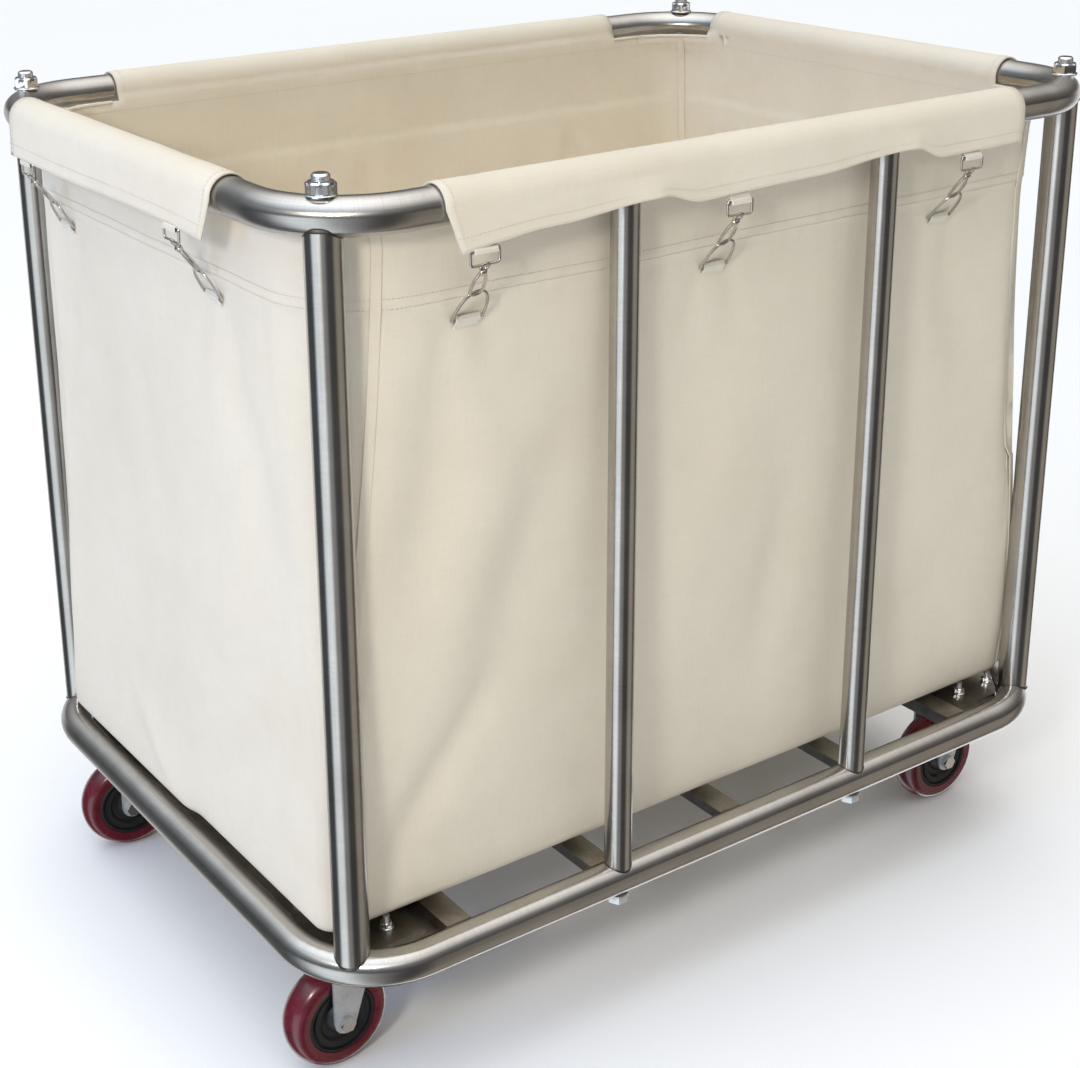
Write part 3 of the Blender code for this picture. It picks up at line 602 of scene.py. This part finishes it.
def foot_spread(point):
    """The bag's foot splays over the base, most on the left, where it lies against the rail."""
    low = 1 - smooth((point.z - BAG_LOW_Z) / 0.30)
    over_rail = 0.0055 * smooth((point.y + 0.030) / 0.030) * (1 - smooth((point.z - BAG_LOW_Z) / 0.10))
    return 0.0080 * low + over_rail if point.x < 0 else 0.0015 + 0.0030 * low


def columns():
    """Columns round the bag: (corner signs, angle) on a corner, or (side, fraction along it) on a side."""
    made = []
    order = ((("right", SHORT_COLS), (1, 1)), (("back", LONG_COLS), (-1, 1)),
             (("left", SHORT_COLS), (-1, -1)), (("front", LONG_COLS), (1, -1)))
    for k, ((side, count), corner) in enumerate(order):
        made += [(side, i / count) for i in range(count)]
        made += [(corner, (k + i / CORNER_COLS) * math.pi / 2) for i in range(CORNER_COLS)]
    return made


COLUMNS = columns()


def side_ends(side, z):
    """Where the straight part of a side begins and ends, measured along the side at a height."""
    a, b, opened = bag_size(z)
    reach = a if OUTWARD[side].y else b
    first, last = (reach - lerp(FOOT_CORNER_R, CORNER_ROUND[corner], opened)
                   for corner in SIDE_CORNERS[side])
    return -first, last


def plain_wall(column, z):
    """Point on the bag's outline, and its outward normal, without folds."""
    a, b, opened = bag_size(z)
    kind, value = column
    if kind in OUTWARD:
        normal = OUTWARD[kind]
        along = Vector((-normal.y, normal.x, 0))
        near, far = side_ends(kind, z)
        point = normal * (b if normal.y else a) + along * lerp(near, far, value)
    else:
        r = lerp(FOOT_CORNER_R, CORNER_ROUND[kind], opened)
        r = lerp(r, RAIL_CORNER_R, smooth((z - 0.765) / 0.018))
        normal = Vector((math.cos(value), math.sin(value), 0))
        point = Vector((kind[0] * (a - r), kind[1] * (b - r), 0)) + r * normal
    point.z = z
    point.x += foot_spread(point) * point.x / a
    return point, normal


def nearest_side(point):
    """The side of the bag that a point is on, with its place along that side."""
    if abs(point.y) / 0.289 > abs(point.x) / BAG_HALF_X:
        return ("front" if point.y < 0 else "back"), point.x
    return ("left" if point.x < 0 else "right"), point.y


def crease(side, along, z):
    """Soft valleys and ridges of the slack cloth on one side, along the lines in CREASES."""
    off = 0.0
    for (x0, z0), (x1, z1), width, depth in CREASES[side]:
        span = (x1 - x0) ** 2 + (z1 - z0) ** 2
        t = ((along - x0) * (x1 - x0) + (z - z0) * (z1 - z0)) / span
        held = min(1.0, max(0.0, t))
        gap = math.hypot(along - lerp(x0, x1, held), z - lerp(z0, z1, held))
        off += 1.5 * depth * math.exp(-(gap / width) ** 2) * (0.45 + 0.55 * math.sin(math.pi * held))
    return off


def folds(point):
    """How far the cloth stands off its plain outline: slack, folds under the rings, and seam puckers."""
    x, y, z = point
    slack = 0.0060 * noise.noise(Vector((x * 3.4, y * 3.4, z * 2.3 + 4.0)))
    slack += 0.0030 * noise.noise(Vector((x * 9.0 + 7, y * 9.0, z * 4.2)))
    slack += 0.0009 * noise.noise(Vector((x * 26, y * 26 + 3, z * 10)))
    top_fade = smooth((BAG_TOP_Z - z) / 0.10)
    low_fade = smooth((z - BAG_LOW_Z) / 0.06)
    off = slack * (0.25 + 0.75 * top_fade) * low_fade
    side, along = nearest_side(point)
    for place in HOOKS[side]:
        down = 0.695 - z
        across = along - place - DEE_SHIFT
        if down > 0:
            width = 0.010 + 0.16 * down
            off += 0.0030 * math.exp(-(across / width) ** 2) * math.exp(-down / 0.14) * smooth(down / 0.02)
            beside = (abs(across) - 1.7 * width) / (0.8 * width)
            off -= 0.0016 * math.exp(-beside ** 2) * math.exp(-down / 0.12)
    off += crease(side, along, z)
    ripple = math.sin(2 * math.pi * along / 0.021 + 3.0 * noise.noise(Vector((x * 14, y * 14, 0))))
    off += 0.0006 * ripple * math.exp(-abs(z - BAND_Z) / 0.014)
    ripple = math.sin(along * 260 + 9 * noise.noise(Vector((x * 10, y * 10, 3))))
    off += 0.0007 * ripple * math.exp(-abs(z - BAG_TOP_Z) / 0.02)
    belly = math.sin(math.pi * min(1.0, max(0.0, (z - BAG_LOW_Z) / 0.56)))
    off += 0.0018 * belly * math.cos(along * 2 * math.pi / 0.30)
    if z > BAND_Z:
        off += 0.0008
    return off


def wall_point(column, z):
    point, normal = plain_wall(column, z)
    return point + normal * folds(point), normal


def hem_height(side, along):
    """Height of a flap's hem. It climbs slowly to each post that it bulges over, then drops."""
    z = HEM_Z + 0.0022 * noise.noise(Vector((along * 7, RAIL_AT[side] * 9, 1.7)))
    if side in ("front", "back"):
        for (x0, rise0), (x1, rise1) in zip(HEM_RISE, HEM_RISE[1:]):
            if x0 <= along <= x1:
                return z + lerp(rise0, rise1, smooth((along - x0) / (x1 - x0)))
    return z


def hem_reach(side, along):
    """How far beyond the rail's outer face a flap's hem hangs."""
    out = 0.0024 + 0.0022 * noise.noise(Vector((along * 9, 2.2, RAIL_AT[side] * 5)))
    if side in ("front", "back"):
        for post in (-SIDE_POST_X, SIDE_POST_X):
            out += 0.0046 * math.exp(-((along - post - 0.010) / 0.034) ** 2)
            out += 0.0016 * math.exp(-((along - post - 0.014) / 0.009) ** 2)
    return out


def flap_column(side, start, along):
    """Points of one flap from the wall's top edge: up inside the rail, over it and down to the hem."""
    outward, lengthwise = OUTWARD[side], ALONG[side]
    line = outward * RAIL_AT[side] + lengthwise * along
    base = Vector((start.x, start.y, 0))
    inner = line - outward * FLAP_R
    points = [start]
    for t in (0.4, 0.8):
        flat = base.lerp(inner, smooth(t))
        points.append(Vector((flat.x, flat.y, lerp(BAG_TOP_Z, TOP_Z, t))))
    for k in range(FLAP_STEPS + 1):
        a = math.pi * (1 - k / FLAP_STEPS)
        r = FLAP_R * (1 + 0.02 * noise.noise(Vector((along * 20, k * 0.15, RAIL_AT[side]))))
        points.append(line + outward * (r * math.cos(a)) + Vector((0, 0, TOP_Z + r * math.sin(a))))
    low, reach = hem_height(side, along), hem_reach(side, along)
    first, last = FLAPS[side]
    drawn = 0.013 * smooth((first + 0.05 - along) / 0.05) - 0.004 * smooth((along - last + 0.05) / 0.05)
    for k in range(1, HANG_STEPS + 1):
        t = k / HANG_STEPS
        billow = 0.0007 * math.sin(math.pi * t) * noise.noise(Vector((along * 30, t * 2, 9)))
        swell = reach * (t ** 0.8) + billow
        drop = Vector((0, 0, lerp(TOP_Z, low, t)))
        points.append(line + outward * (FLAP_R + swell) + lengthwise * drawn * t + drop)
    return points


def spacing(points):
    """Running length along a list of points."""
    run = [0.0]
    for a, b in zip(points, points[1:]):
        run.append(run[-1] + (b - a).length)
    return run


def make_bag():
    """The bag as one skin: floor, walls and a flap over each rail, thickened inwards. The floor's rings
    stop short of its middle, which leaves a small hole there. Returns the bag and the flaps' columns."""
    rows = []
    for ring in range(1, FLOOR_RINGS + 1):
        shrink = ring / FLOOR_RINGS
        row = []
        for column in COLUMNS:
            point, normal = plain_wall(column, BAG_LOW_Z)
            point -= normal * FOOT_R
            over_bars = (1 - math.cos(2 * math.pi * point.x * shrink / 0.157)) / 2
            sag = 0.0035 * over_bars * smooth((1 - shrink) * 6)
            row.append(Vector((point.x * shrink, point.y * shrink, BAG_LOW_Z - sag)))
        rows.append(row)
    for k in range(1, 7):
        a = math.radians(90 * k / 7)
        row = []
        for column in COLUMNS:
            point, normal = plain_wall(column, BAG_LOW_Z + FOOT_R * (1 - math.cos(a)))
            row.append(point - normal * FOOT_R * (1 - math.sin(a)))
        rows.append(row)
    foot = BAG_LOW_Z + FOOT_R
    heights = [foot + (BAND_Z - BAG_LOW_Z - FOOT_R) * k / WALL_ROWS for k in range(WALL_ROWS)]
    heights += [BAND_Z - 0.0006, BAND_Z + 0.0006] + [lerp(BAND_Z, BAG_TOP_Z, k / 9) for k in range(1, 10)]
    rows += [[wall_point(column, z)[0] for column in COLUMNS] for z in heights]
    top = rows[-1]
    up_wall = spacing([row[10] for row in rows])
    meshes = [surface("bag", rows, spacing(top + top[:1]), up_wall, closed_cols=True)]
    edges = {}
    for side, (low, high) in FLAPS.items():
        outward, lengthwise = OUTWARD[side], ALONG[side]
        picked = [point for point in top if point.dot(outward) > RAIL_AT[side] - 0.040
                  and low - 0.002 <= point.dot(lengthwise) <= high + 0.002]
        if side == "right":
            picked.sort(key=lambda point: point.dot(lengthwise))
        strips = [flap_column(side, point, point.dot(lengthwise)) for point in picked]
        edges[side] = strips
        starts = [strip[0] for strip in strips]
        meshes.append(surface("flap", list(map(list, zip(*strips))), spacing(starts) + [0],
                              spacing(strips[0]) + [0]))
    whole = joined("canvas_bag_skin", meshes)
    weld_points(whole)
    bag = piece("canvas_bag_skin", whole, CANVAS, "frame", ["canvas_bag"], 60)
    thick = bag.modifiers.new("cloth", "SOLIDIFY")
    thick.thickness = CLOTH
    thick.offset = -1.0
    thick.use_even_offset = False
    return bag, edges


def weld_points(mesh):
    """Merges the flaps' first points with the walls', and turns all faces outwards."""
    bm = bmesh.new()
    bm.from_mesh(mesh)
    bmesh.ops.remove_doubles(bm, verts=bm.verts, dist=0.00005)
    bmesh.ops.recalc_face_normals(bm, faces=bm.faces)
    up = [face for face in bm.faces if face.calc_center_median().z < BAG_LOW_Z + 0.0005]
    if up and sum(face.normal.z for face in up) > 0:
        bmesh.ops.reverse_faces(bm, faces=bm.faces)
    bm.to_mesh(mesh)
    bm.free()


def stitches(name, path, normals, closed=False):
    """A row of sewn stitches lying on a path over the cloth."""
    points, faces = [], []
    path = list(path) + ([path[0]] if closed else [])
    normals = list(normals) + ([normals[0]] if closed else [])
    at = 0.0
    for p, q, n in zip(path, path[1:], normals):
        total = (q - p).length
        if total < 1e-6:
            continue
        ahead = (q - p) / total
        side = ahead.cross(n).normalized()
        while at < total:
            a, b = p + ahead * at, p + ahead * (at + STITCH_LENGTH)
            start = len(points)
            for centre, swell in ((a, 0.35), ((a + b) / 2, 1.0), (b, 0.35)):
                lift, wide = n * STITCH_R * swell, side * STITCH_R * swell
                points += [centre - wide, centre + lift * 1.2, centre + wide, centre - lift * 0.4]
            for ring in (start, start + 4):
                for k, j in ((0, 1), (1, 2), (2, 3), (3, 0)):
                    faces.append((ring + k, ring + j, ring + 4 + j, ring + 4 + k))
            at += STITCH_LENGTH + STITCH_GAP
        at -= total
    mesh = bpy.data.meshes.new(name)
    mesh.from_pydata(points, [], faces)
    mesh.uv_layers.new(name="UVMap")
    return mesh


def make_stitching(edges):
    """Two rows round the band, one inside the top hem, and rows along the hem and the ends of each flap."""
    lines = []
    proud = CLOTH + 0.0003
    for z in (BAND_Z + 0.0022, BAND_Z + 0.0105):
        found = [wall_point(column, z) for column in COLUMNS]
        lines.append(stitches("band", [p + n * 0.0002 for p, n in found], [n for _, n in found], closed=True))
    found = [wall_point(column, BAG_TOP_Z - 0.010) for column in COLUMNS]
    lines.append(stitches("hem", [p - n * proud for p, n in found], [-n for _, n in found], closed=True))
    for side, strips in edges.items():
        outward, lengthwise = OUTWARD[side], ALONG[side]
        hem = [strip[-1].lerp(strip[-HANG_STEPS], 0.38) + outward * proud for strip in strips]
        lines.append(stitches("flap_hem", hem, [outward] * len(hem)))
        for strip in (strips[1], strips[-2]):
            row, normals = [], []
            for before, here in zip(strip[2:], strip[3:]):
                normal = (here - before).cross(lengthwise).normalized()
                axis = outward * RAIL_AT[side] + lengthwise * here.dot(lengthwise) + Vector((0, 0, TOP_Z))
                if normal.dot(here - axis) < 0:
                    normal = -normal
                row.append(here + normal * proud)
                normals.append(normal)
            lines.append(stitches("flap_end", row, normals))
    return piece("bag_stitching", joined("bag_stitching", lines), THREAD, "frame")


def ribbon(name, spine, across, normals, thickness=0.0012):
    """A flat tape along a spine, with its half width and its outward normal at each point."""
    rows = []
    for point, wide, normal in zip(spine, across, normals):
        lift = normal * thickness
        rows.append([point - wide, point - wide * 0.93 + lift, point + lift * 1.08,
                     point + wide * 0.93 + lift, point + wide, point - normal * 0.0006])
    return surface(name, rows, [0.004 * k for k in range(7)], closed_cols=True, caps=True)


def make_seams():
    """Bound vertical seams at the four corners, and the rolled hem where the bag's top edge is bare."""
    tapes, rolls = [], []
    tops = [wall_point(column, BAG_TOP_Z - 0.001)[0] for column in COLUMNS]
    heights = [lerp(BAG_LOW_Z + 0.012, BAG_TOP_Z - 0.004, k / 60) for k in range(61)]
    for corner in SIGNS.values():
        index = [c for c, column in enumerate(COLUMNS) if column[0] == corner]
        share = 0.5 if corner[1] > 0 else 0.5 - 0.25 * corner[0]
        middle = COLUMNS[index[round(CORNER_COLS * share)]]
        spine, normals = zip(*(wall_point(middle, z) for z in heights))
        across = [Vector((-n.y, n.x, 0)) for n in normals]
        inside = [p - n * (CLOTH + 0.0008) for p, n in zip(spine, normals)]
        tapes.append(ribbon("seam", spine, [wide * 0.0045 for wide in across], normals))
        tapes.append(ribbon("seam_in", inside, [wide * 0.0040 for wide in across], [-n for n in normals]))
        around = [c % len(COLUMNS) for c in range(index[0] - 12, index[-1] + 13)]
        path = [tops[c] - plain_wall(COLUMNS[c], BAG_TOP_Z)[1] * 0.0008
                for c in around if not covered(tops[c])]
        rolls.append(sweep("rolled_hem", path, 0.0019, 8))
    return [piece("corner_seam_tapes", joined("corner_seam_tapes", tapes), CANVAS, "frame"),
            piece("rolled_hems", joined("rolled_hems", rolls), CANVAS, "frame")]


def covered(point):
    """Whether a flap starts at this point of the bag's top edge."""
    for side, (low, high) in FLAPS.items():
        along = point.dot(ALONG[side])
        if point.dot(OUTWARD[side]) > RAIL_AT[side] - 0.040 and low + 0.004 < along < high - 0.004:
            return True
    return False


# ---- hooks, rings and tabs

def ring_path(width, height, corner, steps=5):
    """A rounded rectangle in the YZ plane, centred on the origin."""
    points = []
    for k, (sy, sz) in enumerate(((1, 1), (-1, 1), (-1, -1), (1, -1))):
        for step in range(steps + 1):
            a = (k + step / steps) * math.pi / 2
            y = sy * (width / 2 - corner) + corner * math.cos(a)
            points.append(Vector((0, y, sz * (height / 2 - corner) + corner * math.sin(a))))
    return points


def hook_mesh():
    """Wire snap hook hanging from the origin in the YZ plane: eye, collar, long body and sprung gate."""
    half = [Vector((0, y, z)) for y, z in ((0.0012, -0.0105), (0.0034, -0.0140), (0.0050, -0.0200),
                                           (0.0056, -0.0270), (0.0058, -0.0340))]
    body = half + [Vector((0, 0.0058 * math.cos(a), -0.0360 - 0.0058 * math.sin(a)))
                   for a in (math.pi * k / 10 for k in range(11))]
    body += [Vector((0, -p.y, p.z)) for p in reversed(half)]
    eye = [Vector((0, 0.0040 * math.sin(a), -0.0030 + 0.0042 * math.cos(a)))
           for a in (2 * math.pi * k / 20 for k in range(20))]
    collar = [(-0.0124, 0.0014), (-0.0120, 0.0030), (-0.0080, 0.0033), (-0.0072, 0.0026), (-0.0066, 0.0012)]
    gate = [Vector((0.0006, 0.0050, -0.0200)), Vector((0.0009, 0.0060, -0.0270)),
            Vector((0.0006, 0.0046, -0.0345))]
    x_axis = Vector((1, 0, 0))
    return joined("hook", [sweep("body", body, 0.00140, 10, True, x_axis),
                           sweep("eye", eye, 0.0013, 10, True, x_axis), lathe("collar", collar, 18),
                           sweep("gate", gate, 0.0010, 8, False, x_axis)])


def make_hooks():
    """The hooks, and the rings, webbing tabs and D-rings that the bag carries, which are returned."""
    rings, tabs, sewn = [], [], []
    x_axis = Vector((1, 0, 0))
    for side, places in HOOKS.items():
        outward = OUTWARD[side]
        facing = Matrix.Rotation(math.atan2(outward.y, outward.x), 4, "Z")
        lengthwise = facing @ Vector((0, 1, 0))
        toward = 1 if lengthwise.dot(Vector((1, 1, 0))) > 0 else -1
        for index, place in enumerate(places):
            line = outward * (RAIL_AT[side] + HOOK_OUT) + ALONG[side] * place
            wander = 0.5 * noise.noise(Vector((place * 31, RAIL_AT[side] * 17, index)))
            swing = Matrix.Rotation(math.radians(9 + 8 * wander) * toward, 4, "X")
            pivot = Matrix.Translation(line + Vector((0, 0, HOOK_Z)))
            hook_place = pivot @ facing @ Matrix.Rotation(HOOK_LEAN, 4, "Y") @ swing
            name = f"{side}_{index + 1}"
            piece(f"wire_hook_{name}", hook_mesh(), NICKEL, f"hook_{name}",
                  [f"snap_hook_{name}"], 40, hook_place)
            ring = sweep("ring", ring_path(0.0270, 0.0128, 0.0026), 0.00120, 10, True, x_axis)
            top = Matrix.Translation(line + Vector((0, 0, HOOK_Z + 0.0064)))
            ring.transform(top @ facing @ Matrix.Rotation(math.radians(6 * wander), 4, "X"))
            rings.append(ring)
            hem = hem_height(side, place)
            loop = [line + outward * out + Vector((0, 0, z)) for out, z in (
                (-0.0030, hem + 0.010), (-0.0026, hem), (0.0000, HOOK_Z + 0.0142), (0.0022, HOOK_Z + 0.0128),
                (0.0020, HOOK_Z + 0.0095), (-0.0012, HOOK_Z + 0.0092), (-0.0032, HOOK_Z + 0.0120),
                (-0.0040, hem + 0.008))]
            tabs.append(ribbon("tab", loop, [lengthwise * 0.0112] * len(loop), [outward] * len(loop), 0.0011))

            where = side_column(side, place + DEE_SHIFT)
            low, normal = wall_point(where, DEE_Z)
            base = low + normal * 0.0022
            climb = hook_place @ Vector((0, 0, -0.0405)) - base
            climb -= lengthwise * climb.dot(lengthwise)
            arch = [base + lengthwise * 0.0148 * math.cos(a) + climb * (math.sin(a) ** 0.75) * 1.10
                    for a in (math.pi * k / 16 for k in range(17))]
            bar = [base - lengthwise * 0.0146, base + lengthwise * 0.0146]
            rings.append(sweep("dee", arch + bar, 0.0013, 10, True, outward))
            patch, down = [], []
            for k in range(9):
                z = 0.6990 - 0.0100 * k / 8
                point, n = wall_point(where, z)
                patch.append(point + n * (0.0004 + 0.0034 * math.exp(-((z - DEE_Z) / 0.0035) ** 2)))
                down.append(n)
            tabs.append(ribbon("patch", patch, [lengthwise * 0.0118] * 9, down, 0.0012))
            span = [wall_point(side_column(side, place + DEE_SHIFT + s), 0.6912)
                    for s in (-0.0100, -0.0050, 0, 0.0050, 0.0100)]
            sewn.append(stitches("patch_stitch", [p + n * 0.0018 for p, n in span], [n for _, n in span]))
    return [piece("rings", joined("rings", rings), NICKEL, "frame", sharp=50),
            piece("webbing_tabs", joined("webbing_tabs", tabs), WEBBING, "frame"),
            piece("tab_stitching", joined("tab_stitching", sewn), THREAD, "frame")]


def side_column(side, along):
    """The column of the bag that lies at a place along one of its sides."""
    normal = OUTWARD[side]
    near, far = side_ends(side, 0.69)
    direction = Vector((-normal.y, normal.x, 0)).dot(Vector((1, 1, 0)))
    return side, (along * direction - near) / (far - near)


# ---- studio

def make_camera():
    camera = bpy.data.objects.new("camera", bpy.data.cameras.new("camera"))
    bpy.context.scene.collection.objects.link(camera)
    camera.data.sensor_width = 36.0
    camera.data.lens, camera.data.shift_x, camera.data.shift_y = LENS, SHIFT_X, SHIFT_Y
    camera.data.clip_start, camera.data.clip_end = 0.05, 200
    level = math.cos(PITCH)
    ahead = Vector((level * math.cos(HEADING), level * math.sin(HEADING), -math.sin(PITCH)))
    right = Vector((math.sin(HEADING), -math.cos(HEADING), 0))
    up = right.cross(ahead)
    right, up = math.cos(ROLL) * right + math.sin(ROLL) * up, math.cos(ROLL) * up - math.sin(ROLL) * right
    turn = Matrix((right, up, -ahead)).transposed().to_4x4()
    camera.matrix_world = Matrix.Translation(CAMERA_AT) @ turn
    bpy.context.scene.camera = camera


def area_light(name, at, toward, size, power, colour, size_y=None):
    data = bpy.data.lights.new(name, "AREA")
    data.energy = power
    data.color = colour
    data.shape = "RECTANGLE"
    data.size = size
    data.size_y = size_y or size
    light = bpy.data.objects.new(name, data)
    bpy.context.scene.collection.objects.link(light)
    light.location = at
    light.rotation_euler = (Vector(toward) - Vector(at)).to_track_quat("-Z", "Y").to_euler()
    return light


def make_sky():
    """Light from overhead, dim near the horizon, with the bands in REFLECTED below it for the steel.
    The camera sees a plain pale wall."""
    world = bpy.data.worlds.new("studio")
    bpy.context.scene.world = world
    world.use_nodes = True
    n = Nodes(world.node_tree)
    where = n.place("Generated")
    split = n.node("SeparateXYZ")
    n.put(split.inputs[0], where)
    from_left = n.math("MULTIPLY_ADD", split.outputs["X"], 0.5, 0.5)
    sky = n.mix(1.0, n.ramp(split.outputs["Z"], *SKY_LEVELS), n.ramp(from_left, *SKY_SIDES), "MULTIPLY")
    level = n.vector("NORMALIZE", n.vector("MULTIPLY", where, (1, 1, 0)))
    glow = (0, 0, 0)
    for heading, half, colour in REFLECTED:
        toward = (math.cos(math.radians(heading)), math.sin(math.radians(heading)), 0)
        facing = n.vector("DOT_PRODUCT", level, toward, out="Value")
        edges = (math.cos(math.radians(half * share)) for share in (1.5, 0.5))
        glow = n.vector("ADD", glow, n.vector("SCALE", colour, scale=n.soft_step(facing, *edges)))
    below = n.soft_step(split.outputs["Z"], -0.02, 0.06, 1.0, 0.0)
    light = n.vector("ADD", n.vector("SCALE", glow, scale=below), sky)
    seen = n.mix(n.node("LightPath").outputs["Is Camera Ray"], light, (0.98, 0.98, 0.98))
    n.put(n.tree.nodes["Background"].inputs["Color"], seen)


def make_studio():
    mesh = bpy.data.meshes.new("studio_floor")
    mesh.from_pydata([(-40, -40, 0), (40, -40, 0), (40, 40, 0), (-40, 40, 0)], [], [(0, 1, 2, 3)])
    mesh.materials.append(floor_material())
    floor = bpy.data.objects.new("studio_floor", mesh)
    bpy.context.scene.collection.objects.link(floor)
    floor.visible_glossy = False
    make_sky()
    area_light("key", (-1.9, -1.45, 1.55), (-0.1, 0, 0.45), 0.34, 20, (1.0, 0.95, 0.89))
    window = area_light("window", (-3.7, -0.2, 1.6), (0, 0, 0.5), 1.2, 30, (0.20, 0.42, 1.05), 1.8)
    overhead = area_light("overhead", (0, 0, 2.7), (0, 0, 0), 0.50, 3.6, (1.0, 0.965, 0.955), 0.10)
    overhead.data.spread = math.radians(12)
    window.visible_glossy = overhead.visible_glossy = False
    bpy.context.scene.view_settings.view_transform = "Standard"


def main():
    make_camera()
    make_studio()
    make_frame()
    make_fasteners()
    make_casters()
    bag, edges = make_bag()
    sewn_on = [make_stitching(edges), *make_seams(), *make_hooks()]


main()
